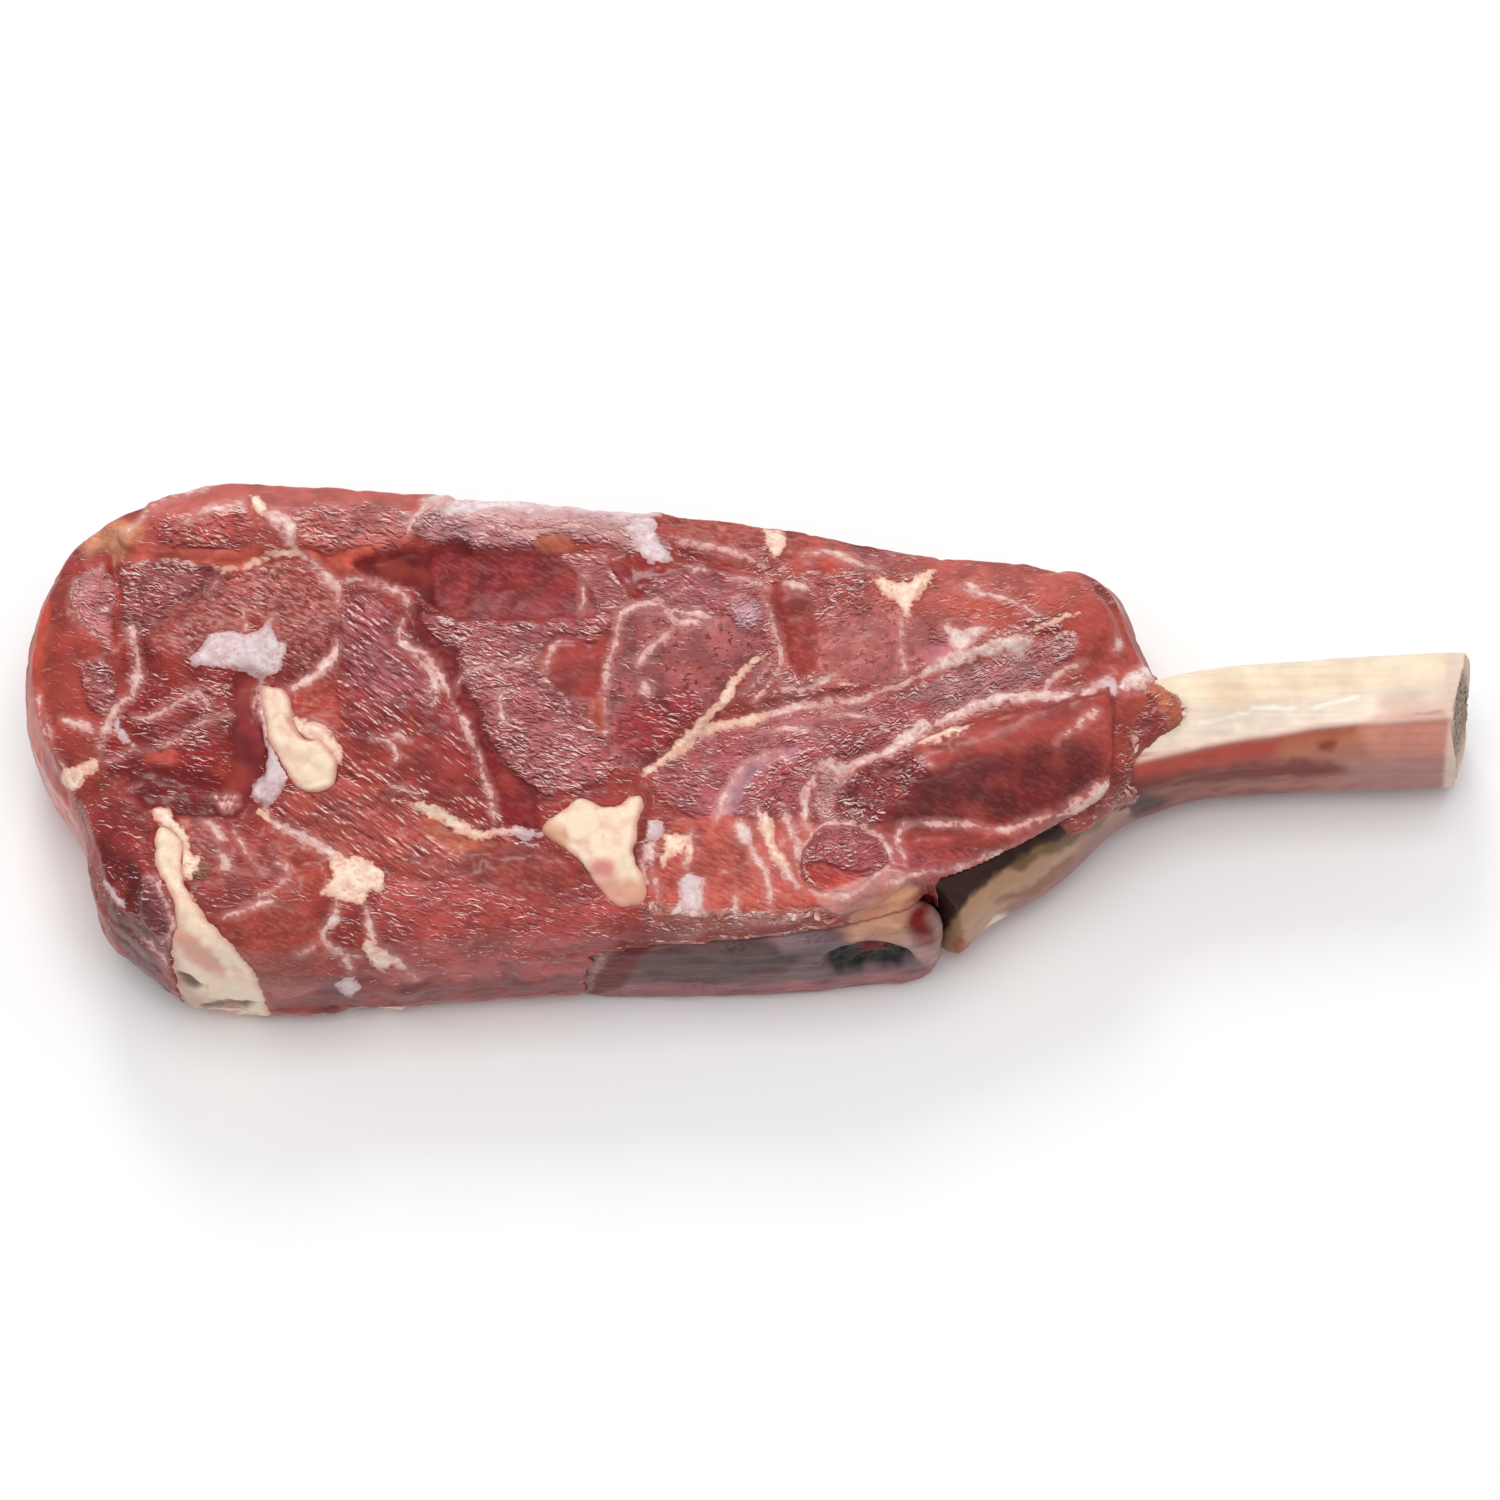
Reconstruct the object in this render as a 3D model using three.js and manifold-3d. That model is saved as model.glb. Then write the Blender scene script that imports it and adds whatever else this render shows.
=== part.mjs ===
// A bone-in veal rib chop: one thick slice of the rack, lying on its cut face. A boneless-looking slab of
// muscle is wrapped round a sawn piece of backbone and a long rib, whose far end is scraped clean.
//
// Millimetres. X runs along the chop towards the sawn end of the rib, Y across it towards the trimmed
// back, Z up. The origin is on the table, under the middle of the whole chop.
import * as THREE from "three";
import { mergeGeometries, mergeVertices } from "three/addons/utils/BufferGeometryUtils.js";
import Module from "manifold-3d";

// ---------------------------------------------------------------------------------- driving dimensions
const THICKNESS = 36; // of the slice, between its two cut faces
const GAP = 0.3; // left between touching pieces
const TOP_ROUNDING = 9; // how far the upper cut face stops short of the widest outline
const BONE_SIDE_ROUNDING = 3.5; // the same beside the bones, where the knife left a squarer edge
const BOTTOM_ROUNDING = 5; // the same for the lower cut face, which the weight presses flat
const UNDERCUT = 5; // how far the flap over the rib overhangs its own foot
const BELLY_HEIGHT = 15; // where the side wall bulges furthest
const SLAB_CELLS = { along: 50, across: 23, wall: 6 };
const RELAXING_ROUNDS = 300; // of evening out the cells of a face

const RIB_WIDTH = 18.6; // the rib's narrow way, across the chop
const RIB_DEPTH = 28.5; // the rib's broad way, through the slice
const RIB_FLOOR = 3.5; // the rib's lower edge above the table
const RIB_STATIONS = 30;
const RIB_SIDES = 20;
const RIB_BARE = 0.3; // the share of the rib, from its head, whose inner face no meat covers
const RIB_CLEARANCE = 6; // how far in front of that face the meat is cut away

const CHINE_TOP = 30; // the backbone's sawn block ends under a thin roof of meat
const CHINE_CELLS = { along: 16, across: 4, wall: 6 };

// The slice's widest outline in plan, as four edges that run anticlockwise. Each ends where the next
// begins.
const SLAB_OUTLINE = {
  front: [
    [-112.4, -37.2], [-104, -43.8], [-92, -46], [-72, -45.8], [-50, -44], [-31, -42.6], [-19, -41],
    [-6, -40.4], [10, -39.2], [24, -36.4], [33, -33], [42, -29.6], [53, -23.6], [61, -19],
  ],
  right: [[68, -12], [73.4, -4], [77, 3], [75.4, 11], [72, 19], [67.6, 26]],
  back: [
    [60, 32], [50, 34], [37, 36], [20, 39.4], [4, 42.4], [-18, 45], [-42, 47.2], [-70, 49.2], [-88, 50],
    [-101, 49.4], [-110, 46.6], [-118, 42],
  ],
  left: [
    [-126, 34.8], [-130.4, 26], [-132.4, 15], [-131.6, 3], [-127.6, -7.4], [-121.4, -16.6], [-117.6, -26.6],
  ],
};

// The sawn block of backbone, bedded into the front of the slice.
const CHINE_OUTLINE = {
  front: [[-30, -41.4], [-16, -42], [4, -41.6], [20, -40.2]],
  right: [[32, -38.4], [35, -35.6]],
  back: [[33, -31.2], [20, -28.6], [-2, -28], [-18, -29.6]],
  left: [[-30, -33.6], [-33, -37.6]],
};

// The middle of the rib in plan, from its head beside the backbone to its sawn end.
const RIB_LINE = [
  [31.4, -28.8], [37, -23], [43, -19], [49.2, -15], [55, -10], [60.6, -5], [68, -0.6], [75, 2], [83, 3.9],
  [101.4, 5.6], [119, 6.4], [129.6, 6.8],
];

// The lines where two muscles meet, seen on the cut face.
const SEAMS = [
  { name: "cap", width: 3.4, depth: 1.5, line: [[-116, 33], [-106, 30], [-93, 29], [-81, 31], [-75, 26]] },
  {
    name: "middle", width: 2.6, depth: 1.2,
    line: [[-75, 26], [-63, 23], [-62, 14], [-53, 1], [-48, -12], [-45, -22]],
  },
  { name: "lower", width: 3.0, depth: 1.1, line: [[-62, -17], [-53, -21], [-45, -23], [-36, -23]] },
  { name: "kernel", width: 3.0, depth: 1.0, line: [[-21, -16], [-11, -4], [-2, 3], [4, 12]] },
  { name: "rib", width: 3.4, depth: 1.4, line: [[-11, -5], [5, 1], [21, 3], [37, 8], [52, 15]] },
  { name: "deckle", width: 3.6, depth: 1.6, line: [[9, -17], [18, -10], [32, -2], [46, 4], [66, 12]] },
  { name: "left_crease", width: 3.0, depth: 1.6, line: [[-115, 33], [-113, 18], [-111, 4], [-115, -11]] },
  { name: "eye_side", width: 2.8, depth: 1.0, line: [[-81, 31], [-75, 22], [-72, 12], [-78, 2], [-85, 4]] },
  { name: "corner", width: 3.4, depth: 1.5, line: [[-86, -20], [-77, -26], [-71, -33], [-70, -45]] },
];

// The swell of each muscle between its seams, as soft mounds: middle, half sizes, turn and rise.
const MUSCLES = [
  { name: "cap_left", at: [-90, 39], half: [26, 7], turn: 0, rise: 0.9 },
  { name: "eye", at: [-92, 14], half: [15, 12], turn: 0.2, rise: 1.0 },
  { name: "eye_low", at: [-96, -8], half: [12, 12], turn: 0.1, rise: -0.9 },
  { name: "middle", at: [-62, -4], half: [10, 16], turn: 0.4, rise: 1.1 },
  { name: "pressed_band", at: [-45, 25], half: [18, 5], turn: -0.1, rise: -1.6 },
  { name: "centre", at: [-36, -3], half: [13, 14], turn: 0, rise: 0.9 },
  { name: "round", at: [-10, 14], half: [11, 12], turn: 0.3, rise: 1.2 },
  { name: "upper_right", at: [20, 17], half: [16, 10], turn: -0.3, rise: 1.0 },
  { name: "shoulder", at: [52, 22], half: [13, 7], turn: -0.5, rise: 0.8 },
  { name: "between", at: [18, -3], half: [17, 5], turn: 0.3, rise: 0.8 },
  { name: "deckle", at: [44, -11], half: [19, 9], turn: 0.5, rise: 1.4 },
  { name: "oval", at: [17, -28], half: [8, 6], turn: 0.2, rise: 1.0 },
  { name: "flank_low", at: [-52, -36], half: [20, 8], turn: 0, rise: 0.9 },
  { name: "corner", at: [-84, -36], half: [12, 8], turn: 0, rise: 1.1 },
];

// Lumps of fat between the muscles. Each is a column right through the slice.
const FAT_LUMPS = [
  {
    name: "fat_lump_backbone",
    rise: 1.4,
    outline: [
      [-36, -21], [-30, -16.4], [-24, -17.6], [-19, -14.6], [-20.4, -25], [-18, -33.6], [-22.6, -35.4],
      [-31, -26],
    ],
  },
  {
    name: "fat_lump_eye",
    rise: 1.6,
    outline: [
      [-86.6, 6], [-82.8, 4.4], [-80, -3], [-74.4, -6.4], [-73, -12.4], [-78.6, -14], [-83, -8.6],
      [-85.6, -2],
    ],
  },
  {
    name: "fat_lump_corner",
    rise: 0.8,
    outline: [
      [-104, -20], [-100, -23], [-99, -31], [-94, -39], [-86, -46], [-84, -53], [-97, -53], [-101.6, -45],
      [-99.6, -37], [-103.8, -28],
    ],
  },
];
const LUMP_SWELL = 8; // how far from a lump's middle the face swells with it

const COLOURS = { meat: 0x97433f, bone: 0xdcc3a0, sawn_bone: 0x7d6664, fat: 0xeed7bd };

// ------------------------------------------------------------------------------------------ small maths
/** Points at even spacing along a polyline, its first and last included. */
function spaceEvenly(points, count) {
  const travelled = [0];
  for (let i = 1; i < points.length; i++) {
    travelled.push(travelled[i - 1] + points[i].distanceTo(points[i - 1]));
  }
  const total = travelled[travelled.length - 1];
  const even = [];
  let span = 1;
  for (let k = 0; k <= count; k++) {
    const target = (total * k) / count;
    while (span < points.length - 1 && travelled[span] < target) span++;
    const share = (target - travelled[span - 1]) / (travelled[span] - travelled[span - 1]);
    even.push(points[span - 1].clone().lerp(points[span], share));
  }
  return even;
}

/** How far a spot in plan lies from a polyline. */
function distanceToLine(x, y, line) {
  let nearest = Infinity;
  for (let i = 1; i < line.length; i++) {
    const [ax, ay] = line[i - 1];
    const [dx, dy] = [line[i][0] - ax, line[i][1] - ay];
    const share = THREE.MathUtils.clamp(((x - ax) * dx + (y - ay) * dy) / (dx * dx + dy * dy), 0, 1);
    nearest = Math.min(nearest, Math.hypot(x - ax - share * dx, y - ay - share * dy));
  }
  return nearest;
}

/** From 0 below low to 1 above high, with no kink at either. */
const ease = (value, low, high) => THREE.MathUtils.smoothstep(value, low, high);

/**
 * A closed loop moved towards its own left, which is inwards on an anticlockwise loop. distanceAt gives the
 * way to go at each point.
 */
function insetLoop(loop, distanceAt) {
  return loop.map((point, i) => {
    const before = loop[(i + loop.length - 2) % loop.length];
    const after = loop[(i + 2) % loop.length];
    const along = after.clone().sub(before).normalize();
    const distance = distanceAt(point);
    return new THREE.Vector2(point.x - along.y * distance, point.y + along.x * distance);
  });
}

/** A smooth closed curve through points in plan. */
function closedCurve(points) {
  return new THREE.CatmullRomCurve3(points.map(([x, y]) => new THREE.Vector3(x, y, 0)), true, "centripetal");
}

/** Joins geometries into one closed surface that keeps nothing but positions. */
function closeSurface(geometries) {
  for (const geometry of geometries) {
    geometry.deleteAttribute("normal");
    geometry.deleteAttribute("uv");
  }
  return mergeVertices(mergeGeometries(geometries), 1e-3);
}

// ------------------------------------------------------------------------------------------------ slabs
const CURVE_STEPS = 12; // taken between two points of an outline

/** The four edges of an outline as evenly spaced points on one smooth closed curve. */
function outlineEdges(outline, cells) {
  const sides = [outline.front, outline.right, outline.back, outline.left];
  const counts = [cells.along, cells.across, cells.along, cells.across];
  const curve = closedCurve(sides.flat());
  let start = 0;
  return sides.map((side, k) => {
    const samples = [];
    for (let i = 0; i <= side.length * CURVE_STEPS; i++) {
      const at = curve.getPoint((start + i / CURVE_STEPS) / sides.flat().length);
      samples.push(new THREE.Vector2(at.x, at.y));
    }
    start += side.length;
    return spaceEvenly(samples, counts[k]);
  });
}

/** Points in plan that fill a rim, row by row from its back edge, as evenly as a stretched net. */
function relaxedNet(rim, cells) {
  const { along, across } = cells;
  const count = rim.length;
  const corner = [0, along, along + across, 2 * along + across];
  const net = [];
  for (let row = across; row >= 0; row--) {
    for (let col = 0; col <= along; col++) {
      const front = rim[col];
      const back = rim[corner[3] - col];
      let at = front.clone().lerp(back, row / across);
      if (col === 0) at = rim[(count - row) % count].clone();
      if (col === along) at = rim[corner[1] + row].clone();
      net.push(at);
    }
  }
  const width = along + 1;
  for (let round = 0; round < RELAXING_ROUNDS; round++) {
    for (let i = width; i < net.length - width; i++) {
      if (i % width === 0 || i % width === along) continue;
      const sum = net[i - 1].clone().add(net[i + 1]).add(net[i - width]).add(net[i + width]);
      net[i].copy(sum.multiplyScalar(1 / 4));
    }
  }
  return net;
}

/**
 * A closed slab: a face stretched over the outline's inner rim, a bulging side wall and a flat underside.
 * topAt gives the face's height in plan. rounding.top and rounding.bottom give how far the rims lie inside
 * the widest outline, and undercut how much further in the wall's foot is, each at a point of the outline.
 */
function slab({ outline, cells, topAt, belly, rounding, undercut = () => 0 }) {
  const loop = outlineEdges(outline, cells).flatMap((edge) => edge.slice(0, -1));
  const count = loop.length;
  const rim = insetLoop(loop, rounding.top);

  const face = new THREE.PlaneGeometry(1, 1, cells.along, cells.across);
  const facePlace = face.attributes.position;
  relaxedNet(rim, cells).forEach(({ x, y }, i) => facePlace.setXYZ(i, x, y, topAt(x, y)));

  // The wall: from the upper rim, out to the belly, and in again to the lower rim.
  const wall = new THREE.PlaneGeometry(1, 1, count, cells.wall);
  const wallPlace = wall.attributes.position;
  const levels = [];
  for (let k = 0; k <= cells.wall; k++) {
    const angle = Math.PI * (0.5 - k / cells.wall);
    const reach = 1 - Math.pow(Math.cos(angle), 0.7);
    const upper = angle > 0;
    const rimwards = upper ? rounding.top : rounding.bottom;
    levels.push({
      loop: k === 0 ? rim : insetLoop(loop, (at) => reach * rimwards(at) + undercut(at) * (k / cells.wall)),
      lift: (top) => (upper ? belly + (top - belly) * Math.sin(angle) : belly * (1 + Math.sin(angle))),
    });
  }
  for (let i = 0; i < wallPlace.count; i++) {
    const col = (i % (count + 1)) % count;
    const level = levels[Math.floor(i / (count + 1))];
    wallPlace.setXYZ(i, level.loop[col].x, level.loop[col].y, level.lift(topAt(rim[col].x, rim[col].y)));
  }

  // The underside, turned to face down.
  const under = new THREE.ShapeGeometry(new THREE.Shape(levels[cells.wall].loop));
  const turned = under.index.array;
  for (let i = 0; i < turned.length; i += 3) [turned[i], turned[i + 1]] = [turned[i + 1], turned[i]];
  return closeSurface([face, wall, under]);
}

/** How far a point of the slice's outline belongs to the stretch beside the bones, from 0 to 1. */
const besideBones = ({ x, y }) => (y < 0 ? ease(x, -42, -22) * (1 - ease(x, 66, 74)) : 0);

/** The same for the flap that overhangs the rib. */
const overRib = ({ x, y }) => (y < 0 ? ease(x, 44, 58) * (1 - ease(x, 66, 74)) : 0);

const FACE_SINK = 1.2; // the face between its swells lies this much under the full thickness

/** The height of the slice's upper cut face, with its swells, seams and fat lumps. */
function faceHeight(x, y) {
  let z = THICKNESS - FACE_SINK;
  z += 0.35 * Math.sin(x / 9 + 1.4 * Math.sin(y / 13)) + 0.3 * Math.sin(y / 6 + x / 17);
  for (const { at, half, turn, rise } of MUSCLES) {
    const [dx, dy] = [x - at[0], y - at[1]];
    const along = (dx * Math.cos(turn) + dy * Math.sin(turn)) / half[0];
    const across = (dy * Math.cos(turn) - dx * Math.sin(turn)) / half[1];
    z += rise * Math.exp(-(along * along + across * across));
  }
  for (const { line, width, depth } of SEAMS) {
    z -= depth * Math.exp(-((distanceToLine(x, y, line) / width) ** 2));
  }
  for (const { outline, rise } of FAT_LUMPS) {
    const middleX = outline.reduce((sum, [px]) => sum + px, 0) / outline.length;
    const middleY = outline.reduce((sum, [, py]) => sum + py, 0) / outline.length;
    z += rise * Math.exp(-((Math.hypot(x - middleX, y - middleY) / LUMP_SWELL) ** 4));
  }
  return z;
}

// -------------------------------------------------------------------------------------------------- rib
const RIB_BOXINESS = 0.56; // 1 is a round section, and less is squarer
const FLANGE = { share: 0.22, reach: 0.1, size: 1.3 }; // the ridge along the rib's lower edge by its head
const SAW_SKEW = 0.2; // of the cut that ends the rib

/**
 * The rib: a slab-sided bar bent along its line. grow widens it all round to cut its own bed, until is the
 * share of its length that is made, and forward widens its front alone.
 */
function ribGeometry({ grow = 0, until = 1, clearance = 0 } = {}) {
  const line = new THREE.CatmullRomCurve3(RIB_LINE.map(([x, y]) => new THREE.Vector3(x, y, 0)));
  const bar = new THREE.CylinderGeometry(1, 1, 1, RIB_SIDES, Math.ceil(RIB_STATIONS * until));
  const place = bar.attributes.position;
  const up = new THREE.Vector3(0, 0, 1);
  const boxy = (value) => Math.sign(value) * Math.pow(Math.abs(value), RIB_BOXINESS);
  for (let i = 0; i < place.count; i++) {
    const share = (place.getY(i) + 0.5) * until;
    const radius = Math.hypot(place.getX(i), place.getZ(i));
    const angle = Math.atan2(place.getZ(i), place.getX(i));
    const along = line.getTangentAt(share);
    const forward = new THREE.Vector3().crossVectors(along, up).normalize();
    // Thick at its head and again at the sawn end, and slimmest where the meat ends.
    const swell = 1 + 0.06 * Math.exp(-((share / 0.16) ** 2)) + 0.08 * share * share;
    const wide = radius * ((RIB_WIDTH / 2) * swell + grow) * boxy(Math.cos(angle));
    const high = radius * (RIB_DEPTH / 2 + grow) * boxy(Math.sin(angle));
    const ridge = FLANGE.size * Math.exp(-(((share - FLANGE.share) / FLANGE.reach) ** 2));
    const low = Math.max(0, (-2 * high) / RIB_DEPTH);
    const front = ease(wide, 0, RIB_WIDTH / 4) * (ridge * low + clearance);
    const end = share === 1 ? grow - SAW_SKEW * wide : share === 0 ? -grow : 0;
    const at = line.getPointAt(share).addScaledVector(forward, wide + front).addScaledVector(along, end);
    place.setXYZ(i, at.x, at.y, RIB_FLOOR + RIB_DEPTH / 2 + high);
  }
  return closeSurface([bar]);
}

// ----------------------------------------------------------------------------------------------- chine
const CHINE_MIDDLE = [2, -36]; // the block grows away from this point
const CHINE_ROUNDING = { top: () => 2.4, bottom: () => 2 };
const CHINE_BELLY = 13;

/** The backbone's block. Its front is the saw cut that took the rest of the backbone away. */
function chineGeometry(grow = 0) {
  const [middleX, middleY] = CHINE_MIDDLE;
  const spread = ([x, y]) => [x + grow * Math.sign(x - middleX), y + grow * Math.sign(y - middleY)];
  const sides = Object.entries(CHINE_OUTLINE).map(([side, points]) => [side, points.map(spread)]);
  return slab({
    outline: Object.fromEntries(sides),
    cells: CHINE_CELLS,
    topAt: (x) => CHINE_TOP + grow - 2 + 1.2 * Math.sin(x / 11),
    belly: CHINE_BELLY,
    rounding: CHINE_ROUNDING,
  });
}

// -------------------------------------------------------------------------------------------- assembly
const wasm = await Module();
wasm.setup();

function toSolid(geometry) {
  return new wasm.Manifold(
    new wasm.Mesh({
      numProp: 3,
      vertProperties: geometry.attributes.position.array,
      triVerts: new Uint32Array(geometry.index.array),
    }),
  );
}

function toGeometry(solid) {
  const { vertProperties, triVerts, numProp } = solid.getMesh();
  if (numProp !== 3) throw new Error("a solid carries more than positions");
  const geometry = new THREE.BufferGeometry();
  geometry.setAttribute("position", new THREE.BufferAttribute(vertProperties, 3));
  geometry.setIndex(new THREE.BufferAttribute(triVerts, 1));
  geometry.computeVertexNormals();
  return geometry;
}

const COLUMN_SPARE = 10; // of a fat lump's column above and below the slice
const LUMP_STEPS = 4; // taken between two points of a lump's outline

/** A column of a fat lump's outline, taller than the slice. */
function lumpColumn(outline, grow) {
  const points = closedCurve(outline).getPoints(outline.length * LUMP_STEPS).slice(0, -1);
  const samples = points.map(({ x, y }) => new THREE.Vector2(x, y));
  const loop = THREE.ShapeUtils.isClockWise(samples) ? samples.reverse() : samples;
  const shape = new THREE.Shape(insetLoop(loop, () => -grow));
  const depth = THICKNESS + 2 * COLUMN_SPARE;
  const column = new THREE.ExtrudeGeometry(shape, { depth, bevelEnabled: false });
  column.translate(0, 0, -COLUMN_SPARE);
  return closeSurface([column]);
}

function makePiece(name, solid, colour, roughness) {
  const material = new THREE.MeshStandardMaterial({ color: colour, roughness, metalness: 0 });
  const mesh = new THREE.Mesh(toGeometry(solid), material);
  mesh.name = name;
  return mesh;
}

const slice = toSolid(
  slab({
    outline: SLAB_OUTLINE,
    cells: SLAB_CELLS,
    topAt: faceHeight,
    belly: BELLY_HEIGHT,
    rounding: {
      top: (at) => THREE.MathUtils.lerp(TOP_ROUNDING, BONE_SIDE_ROUNDING, besideBones(at)),
      bottom: () => BOTTOM_ROUNDING,
    },
    undercut: (at) => UNDERCUT * overRib(at),
  }),
);
const rib = toSolid(ribGeometry());
const ribBed = toSolid(ribGeometry({ grow: GAP }));
const ribWindow = toSolid(ribGeometry({ grow: GAP, until: RIB_BARE, clearance: RIB_CLEARANCE }));
const chine = toSolid(chineGeometry()).subtract(ribBed);
const chineBed = toSolid(chineGeometry(GAP));

let meat = slice.subtract(ribBed).subtract(ribWindow).subtract(chineBed);
const chop = new THREE.Group();
for (const { name, outline } of FAT_LUMPS) {
  const lump = slice.intersect(toSolid(lumpColumn(outline, 0))).subtract(ribBed).subtract(chineBed);
  meat = meat.subtract(toSolid(lumpColumn(outline, GAP)));
  chop.add(makePiece(name, lump, COLOURS.fat, 0.45));
}
chop.add(makePiece("meat", meat, COLOURS.meat, 0.4));
chop.add(makePiece("rib_bone", rib, COLOURS.bone, 0.5));
chop.add(makePiece("chine_bone", chine, COLOURS.sawn_bone, 0.6));

// The chop is set down on the table with the origin under the middle of its box.
const box = new THREE.Box3().setFromObject(chop);
const middle = box.getCenter(new THREE.Vector3());
chop.position.set(-middle.x, -middle.y, -box.min.z);

export default chop;
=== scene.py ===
"""A raw bone-in veal rib chop, dressed for a studio picture.

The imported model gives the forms: the slice of meat, the rib, the sawn backbone and three lumps of fat. Each
is copied here as a dense skin, sculpted with the swells, seams and tears of the real chop, and finished.
Places on the cut face are named by the pixel of the 1500 by 1500 picture that shows them, and the picture's
eye finds them on the chop. Sizes are in millimetres until a mesh is written, which is in metres.
"""

import logging
import math
from collections.abc import Callable
from dataclasses import dataclass, field
from enum import Enum
from functools import partial

import bmesh
import bpy
import numpy as np
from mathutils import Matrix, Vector
from mathutils.bvhtree import BVHTree


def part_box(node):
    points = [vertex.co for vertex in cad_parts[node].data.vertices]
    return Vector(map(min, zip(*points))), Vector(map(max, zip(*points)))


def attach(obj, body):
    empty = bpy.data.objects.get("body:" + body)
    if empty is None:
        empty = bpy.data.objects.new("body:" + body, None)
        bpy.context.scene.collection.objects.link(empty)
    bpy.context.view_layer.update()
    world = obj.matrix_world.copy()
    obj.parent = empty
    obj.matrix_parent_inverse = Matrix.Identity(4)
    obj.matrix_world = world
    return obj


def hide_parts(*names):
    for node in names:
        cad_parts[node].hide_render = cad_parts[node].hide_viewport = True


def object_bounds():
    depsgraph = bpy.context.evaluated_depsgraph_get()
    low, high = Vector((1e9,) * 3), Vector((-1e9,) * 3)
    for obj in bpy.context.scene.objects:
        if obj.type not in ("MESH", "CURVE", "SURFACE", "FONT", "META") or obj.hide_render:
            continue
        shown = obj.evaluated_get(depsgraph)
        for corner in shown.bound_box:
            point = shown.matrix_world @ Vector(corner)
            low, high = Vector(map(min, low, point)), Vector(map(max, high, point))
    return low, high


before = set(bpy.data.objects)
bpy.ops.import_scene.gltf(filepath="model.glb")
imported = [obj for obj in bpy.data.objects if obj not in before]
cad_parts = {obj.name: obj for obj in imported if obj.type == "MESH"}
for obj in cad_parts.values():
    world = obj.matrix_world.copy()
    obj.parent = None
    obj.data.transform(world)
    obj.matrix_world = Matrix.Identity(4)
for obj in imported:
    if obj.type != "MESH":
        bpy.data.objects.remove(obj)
CAD_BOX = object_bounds()

log = logging.getLogger("chop")

MM = 0.001  # one millimetre in metres
PX_PER_MM = 5.5  # of the picture, at the middle of the chop
TO_MM = 1 / PX_PER_MM
FAR = 9.0  # mm, a distance at which nothing shows of a mark


# ---- helpers
def linear(code: str) -> tuple[float, float, float, float]:
    """Turns an sRGB hex colour into a linear one.

    Args:
        code: the colour as "#rrggbb".

    Returns:
        Red, green, blue and an alpha of 1, each from 0 to 1.
    """
    parts = [int(code[i : i + 2], 16) / 255 for i in (1, 3, 5)]
    curve = [c / 12.92 if c <= 0.04045 else ((c + 0.055) / 1.055) ** 2.4 for c in parts]
    return (curve[0], curve[1], curve[2], 1.0)


def ease(value: np.ndarray, low: float, high: float) -> np.ndarray:
    """Goes from 0 where value is low to 1 where it is high, with no kink. Low may be the larger."""
    share = np.clip((value - low) / (high - low), 0.0, 1.0)
    return share * share * (3 - 2 * share)


class Noise:
    """Smooth random relief in space, the same on every run."""

    PRIMES = (73856093, 19349663, 83492791)
    CORNERS = [(i, j, k) for i in (0, 1) for j in (0, 1) for k in (0, 1)]
    AROUND = [(i, j, k) for i in (-1, 0, 1) for j in (-1, 0, 1) for k in (-1, 0, 1)]
    ROWS = 1 << 16
    SHIFT = 17.3  # cells between two octaves, so that their lattices don't line up
    PEBBLE_SHIFT = 31.7  # the same for the scattered points

    def __init__(self, seed: int) -> None:
        """Draws the table of values that the lattice is filled from.

        Args:
            seed: which of the possible reliefs this is.
        """
        rng = np.random.default_rng(seed)
        self.table = rng.uniform(-1, 1, self.ROWS)
        self.jitter = rng.random((self.ROWS, 3))

    def hashed(self, cell: np.ndarray) -> np.ndarray:
        """Gives each cell of the lattice, a row of whole numbers, its row of the table."""
        mixed = cell[:, 0] * self.PRIMES[0] ^ cell[:, 1] * self.PRIMES[1] ^ cell[:, 2] * self.PRIMES[2]
        return mixed & (self.ROWS - 1)

    def __call__(self, places: np.ndarray, size: float, octaves: int = 1) -> np.ndarray:
        """Reads the relief.

        Args:
            places: points in mm, one row each.
            size: the width of a swell in mm.
            octaves: how many finer layers are added, each half as wide and half as strong.

        Returns:
            Values from about -1 to 1.
        """
        total = np.zeros(len(places))
        reach = 0.0
        for octave in range(octaves):
            at = places / (size / 2**octave) + self.SHIFT * (octave + 1)
            cell = np.floor(at).astype(np.int64)
            share = at - cell
            share = share * share * (3 - 2 * share)
            layer = np.zeros(len(places))
            for corner in self.CORNERS:
                weight = np.prod(np.where(corner, share, 1 - share), axis=1)
                layer += weight * self.table[self.hashed(cell + np.array(corner))]
            total += layer / 2**octave
            reach += 1 / 2**octave
        return total / reach

    def pebbles(self, places: np.ndarray, size: float) -> np.ndarray:
        """Reads the distance to the nearest of many scattered points.

        Args:
            places: points in mm, one row each.
            size: how far apart the scattered points lie in mm.

        Returns:
            The distance as a share of size, 0 on a point.
        """
        at = places / size + self.PEBBLE_SHIFT
        cell = np.floor(at).astype(np.int64)
        nearest = np.full(len(places), np.inf)
        for step in self.AROUND:
            there = cell + np.array(step)
            point = there + self.jitter[self.hashed(there)]
            nearest = np.minimum(nearest, np.linalg.norm(at - point, axis=1))
        return nearest


Trace = str  # places in the picture, each as "x,y", with a space between two


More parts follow.
